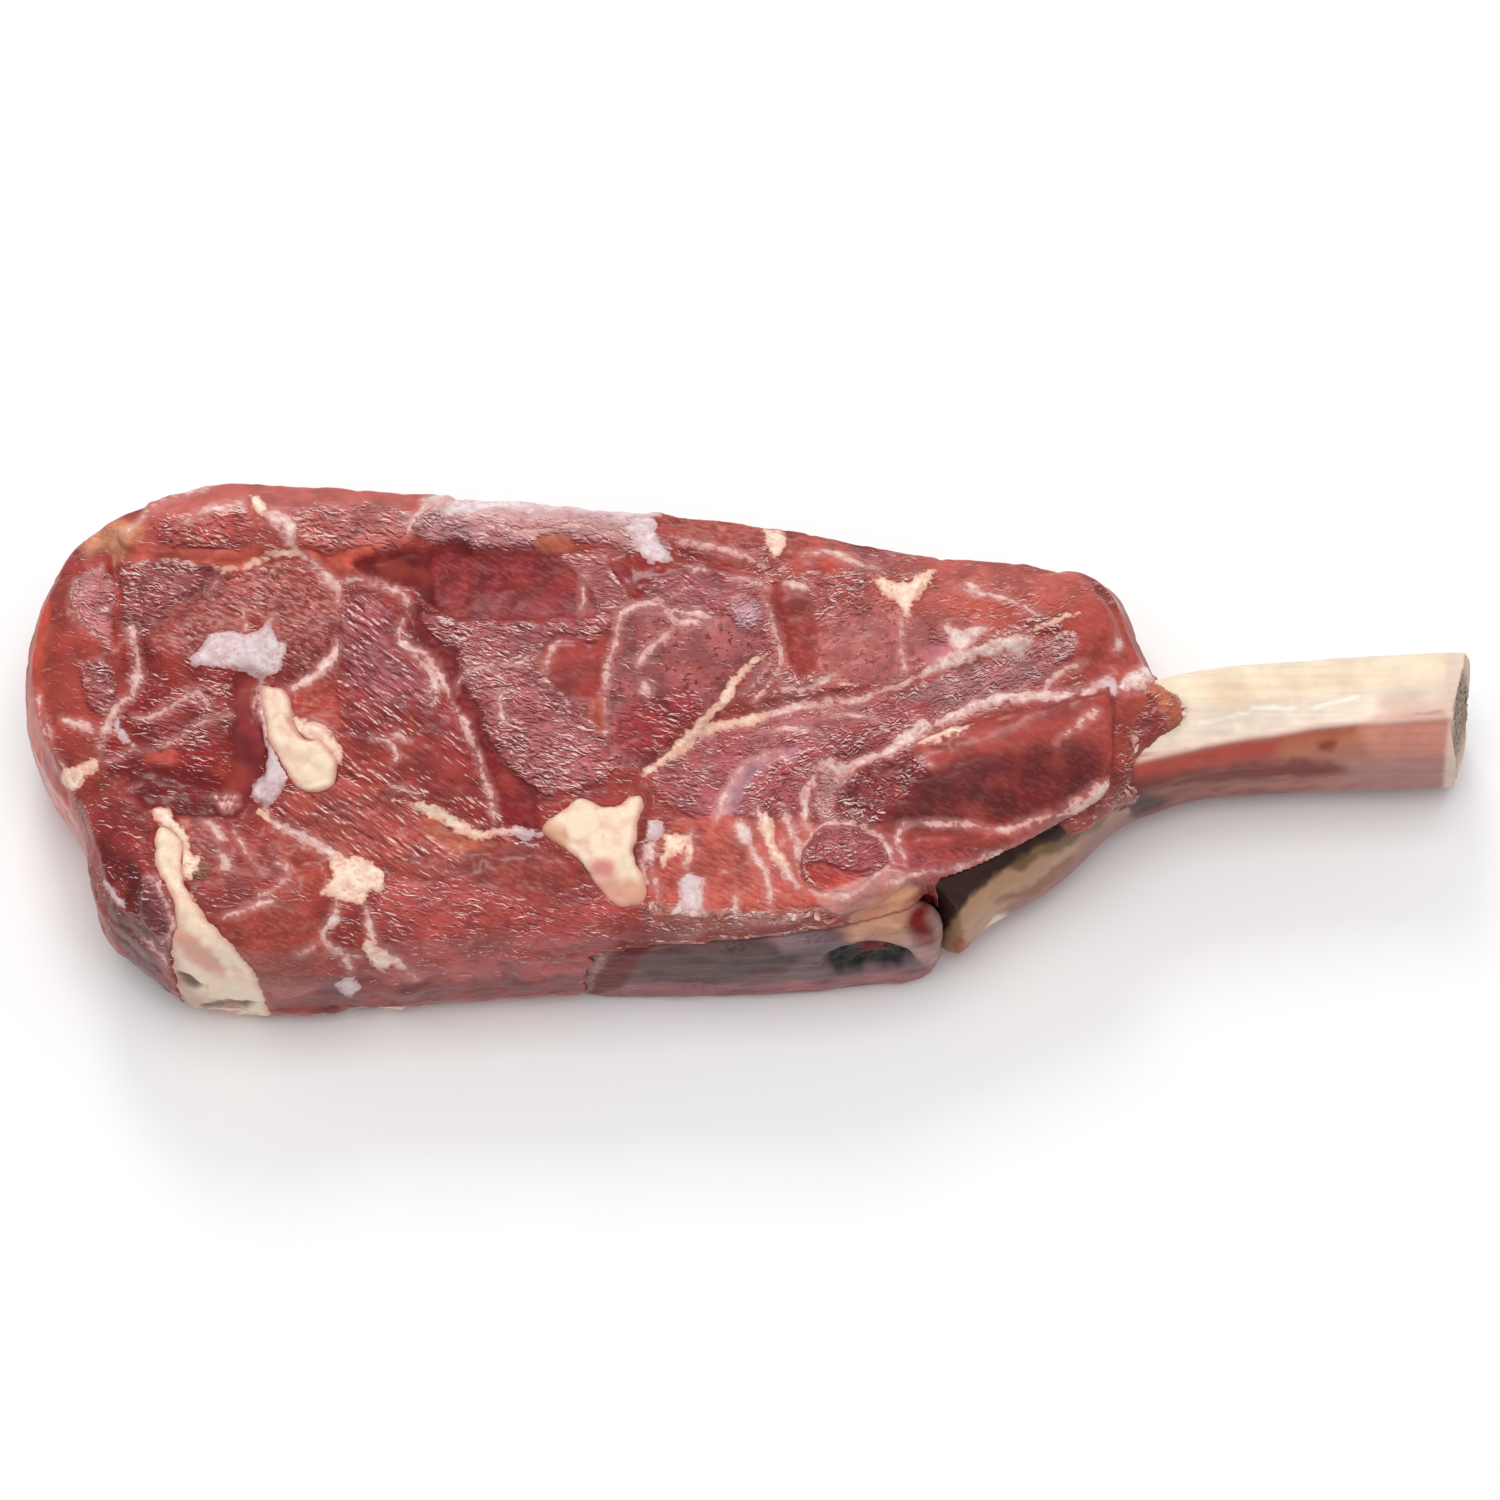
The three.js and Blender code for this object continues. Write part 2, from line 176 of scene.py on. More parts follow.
def smoothed(points: Trace, closed: bool = False, steps: int = 4) -> np.ndarray:
    """Rounds a given line off with a Catmull-Rom curve.

    Args:
        points: the places that the line passes through.
        closed: whether the last place joins the first.
        steps: how many short pieces each stretch is cut into.

    Returns:
        The places along the rounded line, one row each.
    """
    given = np.array([place.split(",") for place in points.split()], float)
    count = len(given)
    spans = count if closed else count - 1
    result = []
    for span in range(spans):
        pick = [span - 1, span, span + 1, span + 2]
        pick = [p % count if closed else min(max(p, 0), count - 1) for p in pick]
        a, b, c, d = given[pick]
        for step in range(steps):
            t = step / steps
            result.append(b + 0.5 * t * (c - a + t * (2 * a - 5 * b + 4 * c - d + t * (3 * (b - c) + d - a))))
    if not closed:
        result.append(given[-1])
    return np.array(result)


def around(where: np.ndarray, line: np.ndarray, reach: float) -> np.ndarray:
    """Says which places lie within reach of the box round a line's points."""
    return np.all((where > line.min(0) - reach) & (where < line.max(0) + reach), axis=1)


def near_line(where: np.ndarray, line: np.ndarray) -> tuple[np.ndarray, np.ndarray]:
    """Finds how close places are to a line and where along it.

    Args:
        where: places, one row each.
        line: the line's points, one row each.

    Returns:
        The distance to the line, and the share of its length from 0 to 1 at the nearest point.
    """
    lengths = np.linalg.norm(np.diff(line, axis=0), axis=1)
    travelled = np.concatenate([[0], np.cumsum(lengths)])
    nearest = np.full(len(where), np.inf)
    share = np.zeros(len(where))
    for i, length in enumerate(lengths):
        step = line[i + 1] - line[i]
        along = np.clip((where - line[i]) @ step / max(length**2, 1e-9), 0, 1)
        away = np.linalg.norm(where - line[i] - along[:, None] * step, axis=1)
        closer = away < nearest
        nearest[closer] = away[closer]
        share[closer] = (travelled[i] + along[closer] * length) / travelled[-1]
    return nearest, share


def inside_by(where: np.ndarray, rim: np.ndarray) -> np.ndarray:
    """Measures how far places lie inside a closed rim.

    Args:
        where: places, one row each.
        rim: the rim's points, one row each.

    Returns:
        The distance to the rim, negative outside it.
    """
    away, _ = near_line(where, np.vstack([rim, rim[:1]]))
    odd = np.zeros(len(where), bool)
    for (ax, ay), (bx, by) in zip(rim, np.roll(rim, -1, axis=0)):
        if ay == by:
            continue
        crosses = (where[:, 1] > ay) != (where[:, 1] > by)
        odd ^= crosses & (where[:, 0] < (bx - ax) * (where[:, 1] - ay) / (by - ay) + ax)
    return np.where(odd, away, -away)


# ---- the picture's eye
@dataclass(frozen=True)
class PictureEye:
    """The eye that took the picture, from which a place in it is found on the chop."""

    elevation: float = math.radians(68.0)
    distance: float = 757.6
    lens: float = 100.0
    sensor: float = 36.0
    side: int = 1500
    target: tuple[float, float, float] = (0.81, -1.15, 18.0)

    @property
    def focal(self) -> float:
        """The focal length in pixels."""
        return self.lens / self.sensor * self.side

    @property
    def position(self) -> np.ndarray:
        """Where the eye is, in mm."""
        back = np.array([0, -math.cos(self.elevation), math.sin(self.elevation)])
        return np.array(self.target) + self.distance * back

    def seen_from(self, places: np.ndarray) -> tuple[np.ndarray, np.ndarray, np.ndarray]:
        """Finds how far right, up and away from the eye places are.

        Args:
            places: points in mm, one row each.

        Returns:
            The three distances in mm.
        """
        sine, cosine = math.sin(self.elevation), math.cos(self.elevation)
        x, y, z = (places - np.array(self.target)).T
        return x, y * sine + z * cosine, self.distance + y * cosine - z * sine

    def project(self, places: np.ndarray) -> np.ndarray:
        """Finds the pixels that show places in space.

        Args:
            places: points in mm, one row each.

        Returns:
            Pixels of the picture, one row each.
        """
        right, up, away = self.seen_from(places)
        middle = self.side / 2
        return np.stack([middle + self.focal * right / away, middle - self.focal * up / away], 1)

    def across(self, columns: np.ndarray, places: np.ndarray) -> np.ndarray:
        """Finds which X in mm would show places at given columns of pixels."""
        _, _, away = self.seen_from(places)
        return self.target[0] + (columns - self.side / 2) * away / self.focal

    def ray(self, column: float, row: float) -> Vector:
        """Finds which way the eye looks at a pixel.

        Args:
            column: the pixel's first coordinate.
            row: its second.

        Returns:
            The direction, one unit long.
        """
        sine, cosine = math.sin(self.elevation), math.cos(self.elevation)
        right, up = column - self.side / 2, self.side / 2 - row
        return Vector((right, self.focal * cosine + up * sine, up * cosine - self.focal * sine)).normalized()

    def shown_at(self, places: np.ndarray, normals: np.ndarray, cover: float) -> np.ndarray:
        """Finds the pixels that paint a surface, also where the picture can't see it.

        What the eye sees is painted straight. The sides and the underside carry the pattern of the face
        above them, because a cut slice has the same muscles all through.

        Args:
            places: points of the surface in mm, one row each.
            normals: which way each point faces.
            cover: the height in mm of the face whose pattern the hidden sides carry.

        Returns:
            Pixels of the picture, one row each.
        """
        sight = self.position - places
        sight /= np.linalg.norm(sight, axis=1)[:, None]
        seen = ease(np.sum(sight * normals, axis=1), 0.02, 0.25)
        lifted = places.copy()
        lifted[:, 2] = places[:, 2] * seen + cover * (1 - seen)
        return self.project(lifted)


# ---- marks on the chop
class Grain(Enum):
    """How the cut fibres of a muscle look."""

    SMOOTH = -1
    FINE = 0  # short fine fibre ends
    CRUMPLED = 1  # wet folds, with painted glints on them and painted shade in the gaps
    STREAKED = 2  # long folds that lean back to the left
    PITTED = 3  # a pale sheen, painted into the colour, with small dark pits


class Tissue(Enum):
    """What a line or spot between the muscles is made of."""

    FAT = 0  # cream
    SEAM = 1  # white and pink connective tissue
    FILM = 2  # thin lilac silverskin


SMOOTH, FINE, CRUMPLED, STREAKED, PITTED = Grain
FAT, SEAM, FILM = Tissue
MARGIN = 4 * PX_PER_MM  # how far round a mark its edge is measured


@dataclass(frozen=True)
class Patch:
    """A stretch of one look on the chop, such as a muscle, inside a closed rim of pixels."""

    name: str
    rim: Trace
    colour: str
    grain: Grain = Grain.SMOOTH
    amount: float = 0.8  # how strongly the grain shows
    gloss: float = 0.4  # how smooth and wet it is
    lift: float = 0.0  # mm above its neighbours
    soft: float = 1.2  # mm that its edge takes to fade in
    strength: float = 1.0

    def cover(self, where: np.ndarray) -> np.ndarray:
        """Says how much of the look each place has.

        Args:
            where: pixels, one row each.

        Returns:
            Shares from 0 to 1.
        """
        rim = smoothed(self.rim, closed=True)
        reach = self.soft * PX_PER_MM
        close = around(where, rim, reach)
        share = np.zeros(len(where))
        share[close] = self.strength * ease(inside_by(where[close], rim), -reach / 2, reach / 2)
        return share


@dataclass(frozen=True)
class Strand:
    """A line of tissue between muscles, as a stroke along a trace of pixels."""

    name: str
    trace: Trace
    width: float  # mm
    tissue: Tissue = Tissue.SEAM
    groove: float = 0.1  # mm that the flesh sinks beside it
    taper: float = 0.25  # the share of its length over which each end thins out

    def edge(self, where: np.ndarray, wobble: np.ndarray) -> tuple[np.ndarray, np.ndarray]:
        """Measures how far outside the stroke places are.

        Args:
            where: pixels, one row each.
            wobble: from -1 to 1 at each place, which makes the stroke uneven.

        Returns:
            The distance to the stroke's edge in mm, negative on it, and the distance to its middle.
        """
        line = smoothed(self.trace)
        close = around(where, line, MARGIN)
        edge = np.full(len(where), FAR)
        middle = np.full(len(where), np.inf)
        away, share = near_line(where[close], line)
        end = np.minimum(share, 1 - share) / self.taper
        half = self.width / 2 * (0.3 + 0.7 * np.clip(end, 0, 1)) * (1 + 0.6 * wobble[close])
        middle[close] = away * TO_MM
        edge[close] = away * TO_MM - half
        return edge, middle


@dataclass(frozen=True)
class Spot:
    """A spot of tissue, inside a closed rim of pixels."""

    name: str
    rim: Trace
    tissue: Tissue = Tissue.FAT
    lift: float = 0.3  # mm that it stands proud

    def edge(self, where: np.ndarray, wobble: np.ndarray) -> np.ndarray:
        """Measures how far outside the spot places are.

        Args:
            where: pixels, one row each.
            wobble: from -1 to 1 at each place, which makes the rim uneven.

        Returns:
            The distance to the rim in mm, negative on the spot.
        """
        rim = smoothed(self.rim, closed=True)
        close = around(where, rim, MARGIN)
        edge = np.full(len(where), FAR)
        edge[close] = -inside_by(where[close], rim) * TO_MM + 0.45 * wobble[close]
        return edge


@dataclass(frozen=True)
class Crease:
    """A fold or cut in the face, along a trace of pixels."""

    name: str
    trace: Trace
    depth: float = 0.5  # mm
    width: float = 0.6  # mm


MUSCLES = (
    Patch("cap", "120,545 150,505 195,480 300,482 440,488 440,515 400,545 345,556 300,548 236,556 170,556",
        "#ab534c", CRUMPLED, 0.3, 0.5, 1),
    Patch("cap_smooth", "140,512 190,486 300,486 420,494 380,508 262,512 200,512", "#b5625b", soft=3),
    Patch("cap_glints_left", "160,520 200,512 244,514 250,540 230,548 180,548 160,535", "#a9504b", CRUMPLED,
        1, soft=2),
    Patch("cap_glints_right", "296,512 360,506 408,514 404,540 360,552 310,548 294,534", "#bd6963",
        CRUMPLED, 1, soft=2),
    # The two step faces are orange-red flesh, painted lighter where they face the light.
    Patch("cap_step", "112,548 170,549 236,549 266,552 262,562 218,570 160,562 116,558", "#d0685a", FINE,
        0.2, 0.6, -0.1, 0.7),
    Patch("cap_step_right", "304,549 330,556 366,546 374,552 354,564 342,582 326,572", "#cc5f50", FINE, 0.2,
        0.5, 0.2, 0.8),
    Patch("shoulder_fat", "84,545 100,528 135,520 142,535 125,552 100,560", "#cf8f6c", FINE, 0.4, 0.5, 0.2,
        3),
    Patch("left_edge", "36,580 22,640 16,700 26,775 54,822 84,856 70,800 48,740 44,680 54,620", "#bd5143",
        FINE, 0.1, 0.8, 0, 3),
    Patch("left_muscle", "52,600 80,562 113,552 118,640 128,690 100,740 60,755 46,700", "#9c433c", CRUMPLED,
        0.25, 0.5, -0.2, 2),
    Patch("left_pale", "68,592 73,578 87,570 100,566 114,577 113,600 111,644 101,640 87,623 72,609",
        "#b56c6c", CRUMPLED, 1, 0.4, 0.3, 0.7),
    Patch("left_glints", "80,664 94,658 110,664 113,704 98,714 84,694", "#9c5155", CRUMPLED, 1.2, 0.3, 0.2,
        1),
    Patch("left_low", "62,752 100,745 128,712 134,745 110,765 84,790 60,782", "#9a3f38", FINE, 0.3, 0.5,
        0.1, 1.6),
    Patch("eye_glints", "128,564 214,566 216,578 190,600 160,626 128,634 122,600", "#964b4c", CRUMPLED, 1.1,
        0.4, -0.6, 0.9),
    Patch("facet_shade", "150,628 190,590 216,574 236,572 210,600 176,634", "#834340", FINE, 0.5, soft=2.2),
    Patch("eye_left", "160,628 205,596 245,604 240,628 214,632 190,655 150,648", "#a04c46", FINE, 0.7,
        soft=1.8),
    Patch("eye", "216,580 262,566 300,564 328,580 340,606 334,640 310,668 284,664 276,630 240,615 222,600",
        "#a04e48", FINE, 1, 0.4, 0.5, 1),
    Patch("eye_low", "286,640 330,620 336,644 312,674 290,680", "#8f3f3b", FINE, 0.6, 0.5, 0.3, 1.6),
    Patch("left_lower", "124,640 186,664 262,676 262,745 250,805 190,812 125,790 100,745 128,700",
        "#883130", CRUMPLED, 0.45, 0.5, -0.5),
    Patch("lower_shine", "160,700 200,684 226,690 232,730 190,750 150,740", "#93403e", CRUMPLED, 0.85, 0.5,
        0.1, 2),
    Patch("orange_smudge", "142,752 160,746 178,750 172,764 150,764", "#b05047", FINE, 0.3, soft=2),
    Patch("lower_dark", "104,765 150,762 200,770 236,780 236,812 190,816 130,795", "#762828", CRUMPLED,
        0.35, 0.5, -0.3, 2),
    Patch("eye_recess", "233,672 262,676 259,735 252,790 236,812 216,806 230,762 232,720", "#823537",
        SMOOTH, 0.8, 0.3, -0.8, 1.8),
    Patch("middle", "345,590 400,606 414,650 448,695 478,760 502,826 440,812 400,795 345,770 340,745"
        " 312,735 298,700 320,672 340,640", "#8f3c3a", STREAKED, 0.9, 0.4, 0.6, 0.9),
    Patch("middle_shine", "345,600 385,608 396,650 430,690 425,712 370,700 345,660", "#985054", STREAKED,
        1.1, 0.4, 0.2, 2),
    Patch("middle_orange", "290,690 318,678 338,690 338,728 305,722", "#a24238", FINE, 0.4, soft=2),
    Patch("middle_plain", "330,745 420,740 470,770 480,800 420,790 350,765", "#913f3b", STREAKED, 0.5,
        soft=2),
    Patch("top_pale", "412,530 440,508 520,512 600,516 655,522 670,560 640,560 600,542 540,545 455,546",
        "#b27b7e", CRUMPLED, 1.2, 0.3, 0.3, 1),
    Patch("top_pink", "440,496 655,512 655,524 560,520 440,516", "#cda0a0", CRUMPLED, 0.6, 0.4, 0.3, 1.4),
    Patch("orange_bit", "536,536 566,530 572,548 548,558", "#b3604b", FINE, 0.3, soft=1.4),
    Patch("pressed_left", "350,566 372,554 410,548 460,540 470,560 462,606 414,590 385,584", "#70292a",
        gloss=0.2, lift=-0.8),
    Patch("pressed_band", "432,556 470,552 560,552 597,562 600,612 560,615 470,615 440,606", "#87383a",
        FINE, 0.25, 0.2, -0.7, 0.8),
    Patch("wedge", "560,556 600,556 634,575 634,606 600,615 592,590", "#a5676a", CRUMPLED, 0.7, 0.4, 0.1,
        1),
    Patch("red_bump", "608,560 640,554 687,574 684,592 640,603 624,590", "#8b2c2f", FINE, 0.2, 0.8, 0.6,
        0.8),
    Patch("dark_trough", "408,606 450,618 456,650 468,690 498,735 528,780 540,825 504,824 478,755 440,680"
        " 414,640", "#7c2e31", FINE, 0.15, 0.5, -0.5),
    Patch("centre_top", "420,612 470,618 600,618 606,632 560,650 470,650 440,640", "#a05557", CRUMPLED, 1.3,
        0.3, 0.1),
    Patch("centre", "460,650 545,640 604,660 606,720 612,770 560,795 510,770 476,700", "#a65d5f", CRUMPLED,
        1.2, 0.3, 0.5, 1.4),
    Patch("centre_red", "540,650 560,632 600,650 602,690 575,700 545,680", "#973f3c", FINE, 0.2, 0.6, 0,
        1.8),
    Patch("centre_orange", "588,700 604,696 612,720 600,732 584,720", "#b0523f", FINE, 0.2, soft=1.8),
    Patch("kernel", "620,606 680,608 760,590 778,640 757,680 702,730 652,768 614,762 606,700 612,655",
        "#a05b5a", PITTED, 1, 0.3, 0.5, 0.9),
    Patch("kernel_red", "640,700 690,690 700,720 660,755 620,750 616,715", "#943d40", CRUMPLED, 0.6, 0.5,
        -0.1, 2),
    Patch("kernel_top", "640,600 690,566 762,575 770,600 720,612 690,612", "#9a5055", CRUMPLED, 0.8, 0.5,
        0.1, 1.4),
    # A painted glint: the wet swirl is painted pale mauve.
    Patch("swirl", "728,606 742,598 758,606 756,624 738,628", "#b78a92", CRUMPLED, 1.3, 0.2, 0.3, 1.4),
    Patch("back_red", "655,508 760,526 768,550 760,560 690,545 657,536", "#a24b42", FINE, 0.5, 0.5, 0.5,
        0.5),
    Patch("upper_right", "768,540 876,550 960,556 1050,570 1092,590 1120,640 1060,630 1000,645 921,668"
        " 832,690 778,690 762,610", "#a85753", CRUMPLED, lift=0.3, soft=0.9),
    Patch("upper_bump", "780,538 830,540 856,560 840,574 790,572", "#b04f45", FINE, 0.3, 0.5, 0.3, 1.8),
    Patch("upper_smooth", "774,584 800,584 818,620 814,668 796,676 780,640", "#8c3b37", FINE, 0.25, 0.3,
        -0.15, 1.4),
    Patch("upper_mauve", "820,640 856,614 905,606 930,640 908,676 850,684 822,668", "#b66a66", PITTED, 0.7,
        lift=0.2),
    Patch("upper_glow", "926,648 954,640 958,656 940,674 924,672", "#c0727a", FINE, 0.2, 0.5, 0, 1.6),
    Patch("shoulder", "930,560 1050,570 1095,590 1112,640 1062,612 1000,632 930,622 910,600", "#b15a51",
        CRUMPLED, 0.35, 0.5, 0.5, 1.6),
    Patch("right_end", "1064,612 1110,606 1150,650 1162,690 1130,726 1090,676 1066,660", "#a54c45", FINE,
        0.2, 0.5, 0.2, 1.4),
    Patch("wrinkled", "884,702 940,678 994,659 1064,632 1075,652 1021,690 976,696 939,718 890,712",
        "#ac7173", CRUMPLED, 1.1, 0.3, -0.6, 0.9),
    Patch("between", "690,745 740,722 800,712 880,700 930,698 938,722 890,745 817,763 790,815 740,835"
        " 690,815 650,782", "#a6575a", CRUMPLED, 0.9, 0.4, 0.2, 1),
    Patch("between_arc", "712,820 722,788 748,756 785,744 800,752 770,765 744,790 730,824", "#b37c84",
        PITTED, 0.4, lift=0.3),
    Patch("salmon", "668,828 700,815 760,818 812,822 806,880 830,900 780,915 700,912 650,900 652,860",
        "#b8584d", FINE, 0.4, 0.7, 0.2, 1),
    Patch("deckle", "822,806 850,776 900,745 960,728 1020,712 1100,694 1116,702 1112,765 1106,792 1066,825"
        " 1000,848 930,848 890,846 870,826", "#9c4540", FINE, 0.15, 0.5, 1.1, 0.8),
    Patch("deckle_dark", "880,800 930,768 1000,752 1092,748 1098,785 1050,812 980,824 905,830", "#662526",
        FINE, 0.12, soft=4),
    Patch("deckle_glints", "838,800 862,772 914,750 925,768 905,800 872,826 845,824", "#7c3237", CRUMPLED,
        1.2, 0.4, -0.1, 1.6),
    Patch("deckle_pale", "816,812 822,776 845,764 852,776 836,800 832,824", "#c08a88", CRUMPLED, 0.9, 0.3,
        0.3, 1.4),
    Patch("flap_low", "888,850 930,848 1000,850 1066,828 1106,796 1110,806 1060,842 990,868 905,884",
        "#a14648", FINE, 0.3, 0.6, 0.3, 0.8),
    Patch("oval", "800,858 810,838 825,826 858,826 882,844 888,862 868,876 856,888 828,890 806,880",
        "#a05054", CRUMPLED, 1.1, 0.4, 0.7, 0.6),
    Patch("oval_low", "806,866 824,864 850,872 866,880 846,890 824,889 808,880", "#b2453e", FINE, 0.4, 0.6,
        0.2, 0.8),
    Patch("pad", "820,894 859,880 890,866 908,878 886,900 850,912 822,908", "#c98880", FINE, 0.4, 0.6, 0.7,
        0.7),
    Patch("low_edge", "640,905 720,912 820,912 850,915 760,930 660,935", "#a06058", CRUMPLED),
    Patch("cartilage", "850,920 864,906 890,888 912,882 915,900 908,930 896,940 872,934", "#c88f74",
        soft=1.8),
    Patch("lower_red", "268,826 300,842 326,856 328,890 318,896 296,888 284,862", "#a5473a", FINE, 0.3, 0.5,
        0.3, 1.4),
    Patch("lower_bulge", "217,917 262,904 322,920 328,950 325,984 290,996 250,985 225,955", "#9c483f", FINE,
        0.3, 0.5, 0.9, 1.6),
    Patch("orange_fold", "190,918 210,922 222,938 214,948 196,934", "#b5604a", FINE, 0.3, 0.5, 0.2, 1.4),
    Patch("dull_lump", "189,828 205,822 222,838 226,856 210,862 192,852", "#9f5450", FINE, 0.6, 0.5, 0.6,
        0.9),
    Patch("orange_nick", "177,816 188,814 194,826 184,828", "#b5523f", SMOOTH, 0.8, 0.6, 0.2, 0.7),
    Patch("olive_pits", "189,862 200,858 210,868 204,878 190,876", "#7a5c48", CRUMPLED, 1, 0.3, -0.3, 1),
    Patch("purple_lobe", "141,877 155,878 165,900 171,917 169,936 158,945 146,925 138,900", "#784348",
        CRUMPLED, 0.7, 0.5, 0.7, 0.9),
    Patch("lower_mid", "285,800 345,780 430,800 500,832 540,850 500,880 430,880 380,860 330,850 285,822",
        "#a8524b", STREAKED, lift=0.2),
    Patch("salmon_band", "428,816 458,830 492,842 488,858 450,848 426,832", "#b2604a", FINE, 0.4, 0.5, 0.1,
        1.4),
    Patch("flank", "384,872 440,880 520,850 570,870 620,905 600,950 560,985 480,1000 400,1004 384,970"
        " 375,920", "#a9504d", CRUMPLED, 0.55, 0.4, 0.2, 1.6),
    Patch("flank_smooth", "470,850 560,858 585,885 540,900 480,888", "#90403c", FINE, 0.3, 0.5, 0.3, 1.8),
    Patch("flank_front", "330,975 420,985 560,975 600,975 590,1000 440,1012 330,1014", "#83393a", CRUMPLED,
        0.3, soft=1.8),
    Patch("corner_dark", "100,830 130,850 142,872 140,910 160,950 160,985 118,950 96,890", "#6a2829",
        CRUMPLED, 0.35, 0.5, -0.4, 1.6),
    Patch("corner_red", "84,800 120,800 150,820 150,850 110,850", "#8a3836", CRUMPLED, 0.4, soft=2),
)

